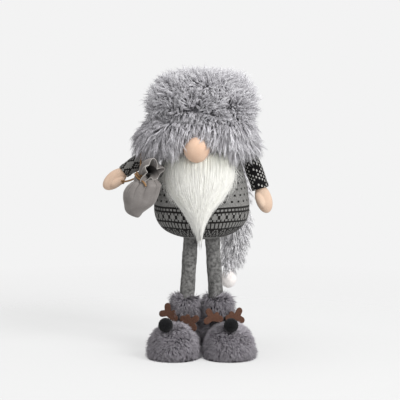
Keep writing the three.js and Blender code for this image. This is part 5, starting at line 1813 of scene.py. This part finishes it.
def sheet_area(rings):
    """The area of the cloth between rings: the sum of its cells' diagonals crossed, halved."""
    nxt = np.roll(rings, -1, axis=1)
    first, second = nxt[1:] - rings[:-1], rings[1:] - nxt[:-1]
    return np.linalg.norm(np.cross(first, second), axis=-1).sum() / 2


mouth_area = sheet_area(mouth_rings)

# %% [markdown]
# Two turns of the same twine close the neck, and their loose end hangs down in front. The turns are a
# helix, and the loose end is a short list of chosen points.

# %% Twine round the neck
WINDING_TURNS, WINDING_PITCH = 2, 3.8 * MM
WINDING_TAIL = np.array(
    [[3, -3.7, -1.7], [6.5, -7.8, -3.7], [9.9, -11.4, -6.1], [12.5, -14.6, -9.1], [13.9, -16.8, -12.5]]
) * MM


def winding_line():
    """A helix round the tilted neck, then the loose end that hangs down in front of it."""
    radius = NECK_RADIUS * 1.05 + 0.3 * MM + TWINE_DIAMETER / 2
    t = np.linspace(0, 1, 48 + 1)
    a = -np.pi / 2 + 2 * np.pi * WINDING_TURNS * t
    z = NECK_ABOVE - TWINE_DIAMETER / 2 - WINDING_PITCH * WINDING_TURNS * t
    coil = tilted(np.stack([radius * np.cos(a), radius * np.sin(a), z], axis=1), np.ones(1))
    return NECK + np.concatenate([coil, coil[-1] + WINDING_TAIL])


winding_route = evenly(smooth(winding_line(), 900), 260)
winding_up = (np.sin(NECK_TILT), 0.02, np.cos(NECK_TILT))
winding = rope("neck_winding_twine", winding_route, TWINE, winding_up)
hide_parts("neck_winding")
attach(winding, "sack")
print("winding", len(winding.data.polygons), "faces")

# %% [markdown]
# ## What is inside
# Stuffing, pellet bags, rods, a board and wires make the gnome stand and hold its pose. They aren't
# seen, but they are part of the object, so each has its own finish: carded wadding, coarse cotton,
# plywood and drawn steel.


# %% Filling and pellet bags
def plain_cloth_material(name, dark, pale, weave=900):
    """Plain woven or carded stuff: a fine grain over a cloudy tone."""
    material, tree, shader = new_material(name, roughness=1.0, specular=0.1)
    cloud, grain = noise(tree, 120, 4), noise(tree, weave, 3)
    base = clouded(tree, cloud, 0.3, 0.7, dark, pale)
    paint(tree, shader, clouded(tree, grain, 0.5, 0.9, base, dark))
    add_bump(tree, shader, grain + cloud, 0.8 * MM)
    return material


WADDING = plain_cloth_material("wadding", linear(214, 212, 205), linear(240, 239, 234), 400)
COTTON = plain_cloth_material("pellet_cotton", linear(166, 142, 104), linear(194, 171, 132))


def dome_rings(low, high, rows=30, around=48):
    """A half ellipsoid that fills a box: circles whose radius falls as the cosine of the rise."""
    centre = np.array([*(low + high)[:2] / 2, low[2]])
    size = (high - low) * [0.5, 0.5, 1]
    v, u = np.meshgrid(np.linspace(0, 0.497, rows) * np.pi, angles_round(around), indexing="ij")
    return centre + size * np.stack([np.cos(v) * np.cos(u), np.cos(v) * np.sin(u), np.sin(v)], axis=-1)


INNER = {
    "hat_filling": (WADDING, "filling", 1.5),
    "right_boot_pellet_bag": (COTTON, "pellets", 0.8),
    "left_boot_pellet_bag": (COTTON, "pellets", 0.8),
}
for seed, (node, (material, slot, lump)) in enumerate(INNER.items()):
    low, high = corners_of(node)
    shrink = lump * MM
    rings = dome_rings(low + shrink, high - shrink)
    rings = lumpy(rings, rings.mean((0, 1)), np.random.default_rng(90 + seed), shrink, 25 * MM)
    inner = skin(f"{node}_stuffed", rings, material)
    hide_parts(node)
    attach(inner, "root")
    print(inner.name, len(inner.data.polygons), "faces")


# %% [markdown]
# Rods, wires, board and soles are hard and plain, so the frame's own meshes stay as they are. Only
# the material in each of their slots is a new one.

# %% Rigid parts keep their meshes and get better materials
def steel_material():
    """Drawn steel rod: grey metal with a little tarnish."""
    material, tree, shader = new_material("drawn_steel", roughness=0.38, specular=0.5)
    shader.inputs["Metallic"].default_value = 1.0
    tarnish = noise(tree, 300, 4)
    paint(tree, shader, clouded(tree, tarnish, 0.35, 0.8, linear(168, 170, 172), linear(120, 116, 110)))
    add_bump(tree, shader, tarnish, 0.05 * MM)
    return material


def plywood_material():
    """Birch plywood: pale wood with long grain bands."""
    material, tree, shader = new_material("birch_plywood", roughness=0.7, specular=0.3)
    stretch = tree.nodes.new("ShaderNodeMapping")
    stretch.inputs["Scale"].default_value = (1, 12, 6)
    tree.links.new(tree.nodes.new("ShaderNodeTexCoord").outputs["Object"], stretch.inputs["Vector"])
    grain = noise(tree, 60, 5, stretch.outputs["Vector"])
    paint(tree, shader, clouded(tree, grain, 0.3, 0.7, linear(176, 145, 102), linear(212, 184, 140)))
    add_bump(tree, shader, grain, 0.2 * MM)
    return material


def sole_material():
    """Dark foam rubber: pitted, a little dusty where it is worn."""
    material, tree, shader = new_material("sole_rubber", roughness=0.85, specular=0.25)
    pits, dust = noise(tree, 1200, 2), noise(tree, 90, 4)
    base = clouded(tree, dust, 0.45, 0.8, linear(38, 36, 38), linear(66, 63, 65))
    paint(tree, shader, clouded(tree, pits, 0.5, 0.8, base, linear(24, 22, 24)))
    add_bump(tree, shader, pits, 0.3 * MM)
    return material


STEEL, PLYWOOD, SOLE = steel_material(), plywood_material(), sole_material()
RIGID = {"hip_board": (PLYWOOD, "board")}
for name in SIDES:
    RIGID[f"{name}_leg_rod"] = (STEEL, "rod_steel")
    RIGID[f"{name}_arm_wire"] = (STEEL, "wire_steel")
    RIGID[f"{name}_boot_sole"] = (SOLE, "sole_rubber")
for node, (material, slot) in RIGID.items():
    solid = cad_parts[node]
    for place in solid.material_slots:
        place.material = material
print("rigid parts finished:", len(RIGID))

# %% [markdown]
# ## Studio
# A pale floor fades into a background of the same grey-white, one large soft light from the right
# front makes the form and the faint shadow to the left, a weak one from above lifts the hat, and the
# surroundings fill the rest.

# %% Floor, background and lights
BACKGROUND = linear(243, 243, 243)
FLOOR_REACH = 1.3
FILL_STRENGTH = 0.54


def floor_material():
    """Thin pale paint that lets three fifths of the background through, and all of it at the rim."""
    material, tree, shader = new_material("studio_floor", roughness=1.0, specular=0.0)
    shader.inputs["Base Color"].default_value = linear(232, 232, 232)
    place = tree.nodes.new("ShaderNodeTexCoord")
    away = tree.nodes.new("ShaderNodeVectorMath")
    away.operation = "LENGTH"
    tree.links.new(place.outputs["Object"], away.inputs[0])
    fade = spread_out(tree, Sum(tree, away.outputs["Value"]), 0.4, FLOOR_REACH * 0.9) * 0.4 + 0.6
    clear = tree.nodes.new("ShaderNodeBsdfTransparent")
    blend = tree.nodes.new("ShaderNodeMixShader")
    tree.links.new(fade.socket, blend.inputs[0])
    tree.links.new(shader.outputs[0], blend.inputs[1])
    tree.links.new(clear.outputs[0], blend.inputs[2])
    tree.links.new(blend.outputs[0], tree.nodes["Material Output"].inputs["Surface"])
    return material


def floor_disc(around=96):
    """A flat disc: one fan round its middle."""
    angle = angles_round(around)
    rim = FLOOR_REACH * np.stack([np.cos(angle), np.sin(angle), 0 * angle], axis=1)
    j = np.arange(around)
    fan = np.stack([j, (j + 1) % around, np.full(around, around)], axis=1)
    return new_piece("studio_floor", np.concatenate([rim, np.zeros((1, 3))]), [fan], floor_material())


floor_disc()

world = bpy.data.worlds.new("studio")
bpy.context.scene.world = world
world.use_nodes = True
sky = world.node_tree
paper = sky.nodes["Background"]
paper.inputs["Color"].default_value = BACKGROUND
paper.inputs["Strength"].default_value = 1.0
fill = sky.nodes.new("ShaderNodeBackground")
fill.inputs["Color"].default_value = (1.0, 1.0, 1.0, 1.0)
fill.inputs["Strength"].default_value = FILL_STRENGTH
path = sky.nodes.new("ShaderNodeLightPath")
seen = Sum(sky, path.outputs["Is Camera Ray"]).either(Sum(sky, path.outputs["Is Transmission Ray"]))
choose = sky.nodes.new("ShaderNodeMixShader")
sky.links.new(seen.socket, choose.inputs[0])
sky.links.new(fill.outputs[0], choose.inputs[1])
sky.links.new(paper.outputs[0], choose.inputs[2])
sky.links.new(choose.outputs[0], sky.nodes["World Output"].inputs["Surface"])


def soft_light(name, place, size, power):
    """A square area light at a place, turned to face the gnome's middle."""
    data = bpy.data.lights.new(name, "AREA")
    data.shape, data.size, data.energy = "SQUARE", size, power
    lamp = bpy.data.objects.new(name, data)
    lamp.location = place
    direction = Vector((aim - np.array(place)).tolist())
    lamp.rotation_euler = direction.to_track_quat("-Z", "Y").to_euler()
    bpy.context.scene.collection.objects.link(lamp)


soft_light("window_light", place=(3.4, -3.7, 3.2), size=2.6, power=248)
soft_light("top_light", place=(-0.2, -0.2, 2.0), size=1.2, power=11)

# %% Finish
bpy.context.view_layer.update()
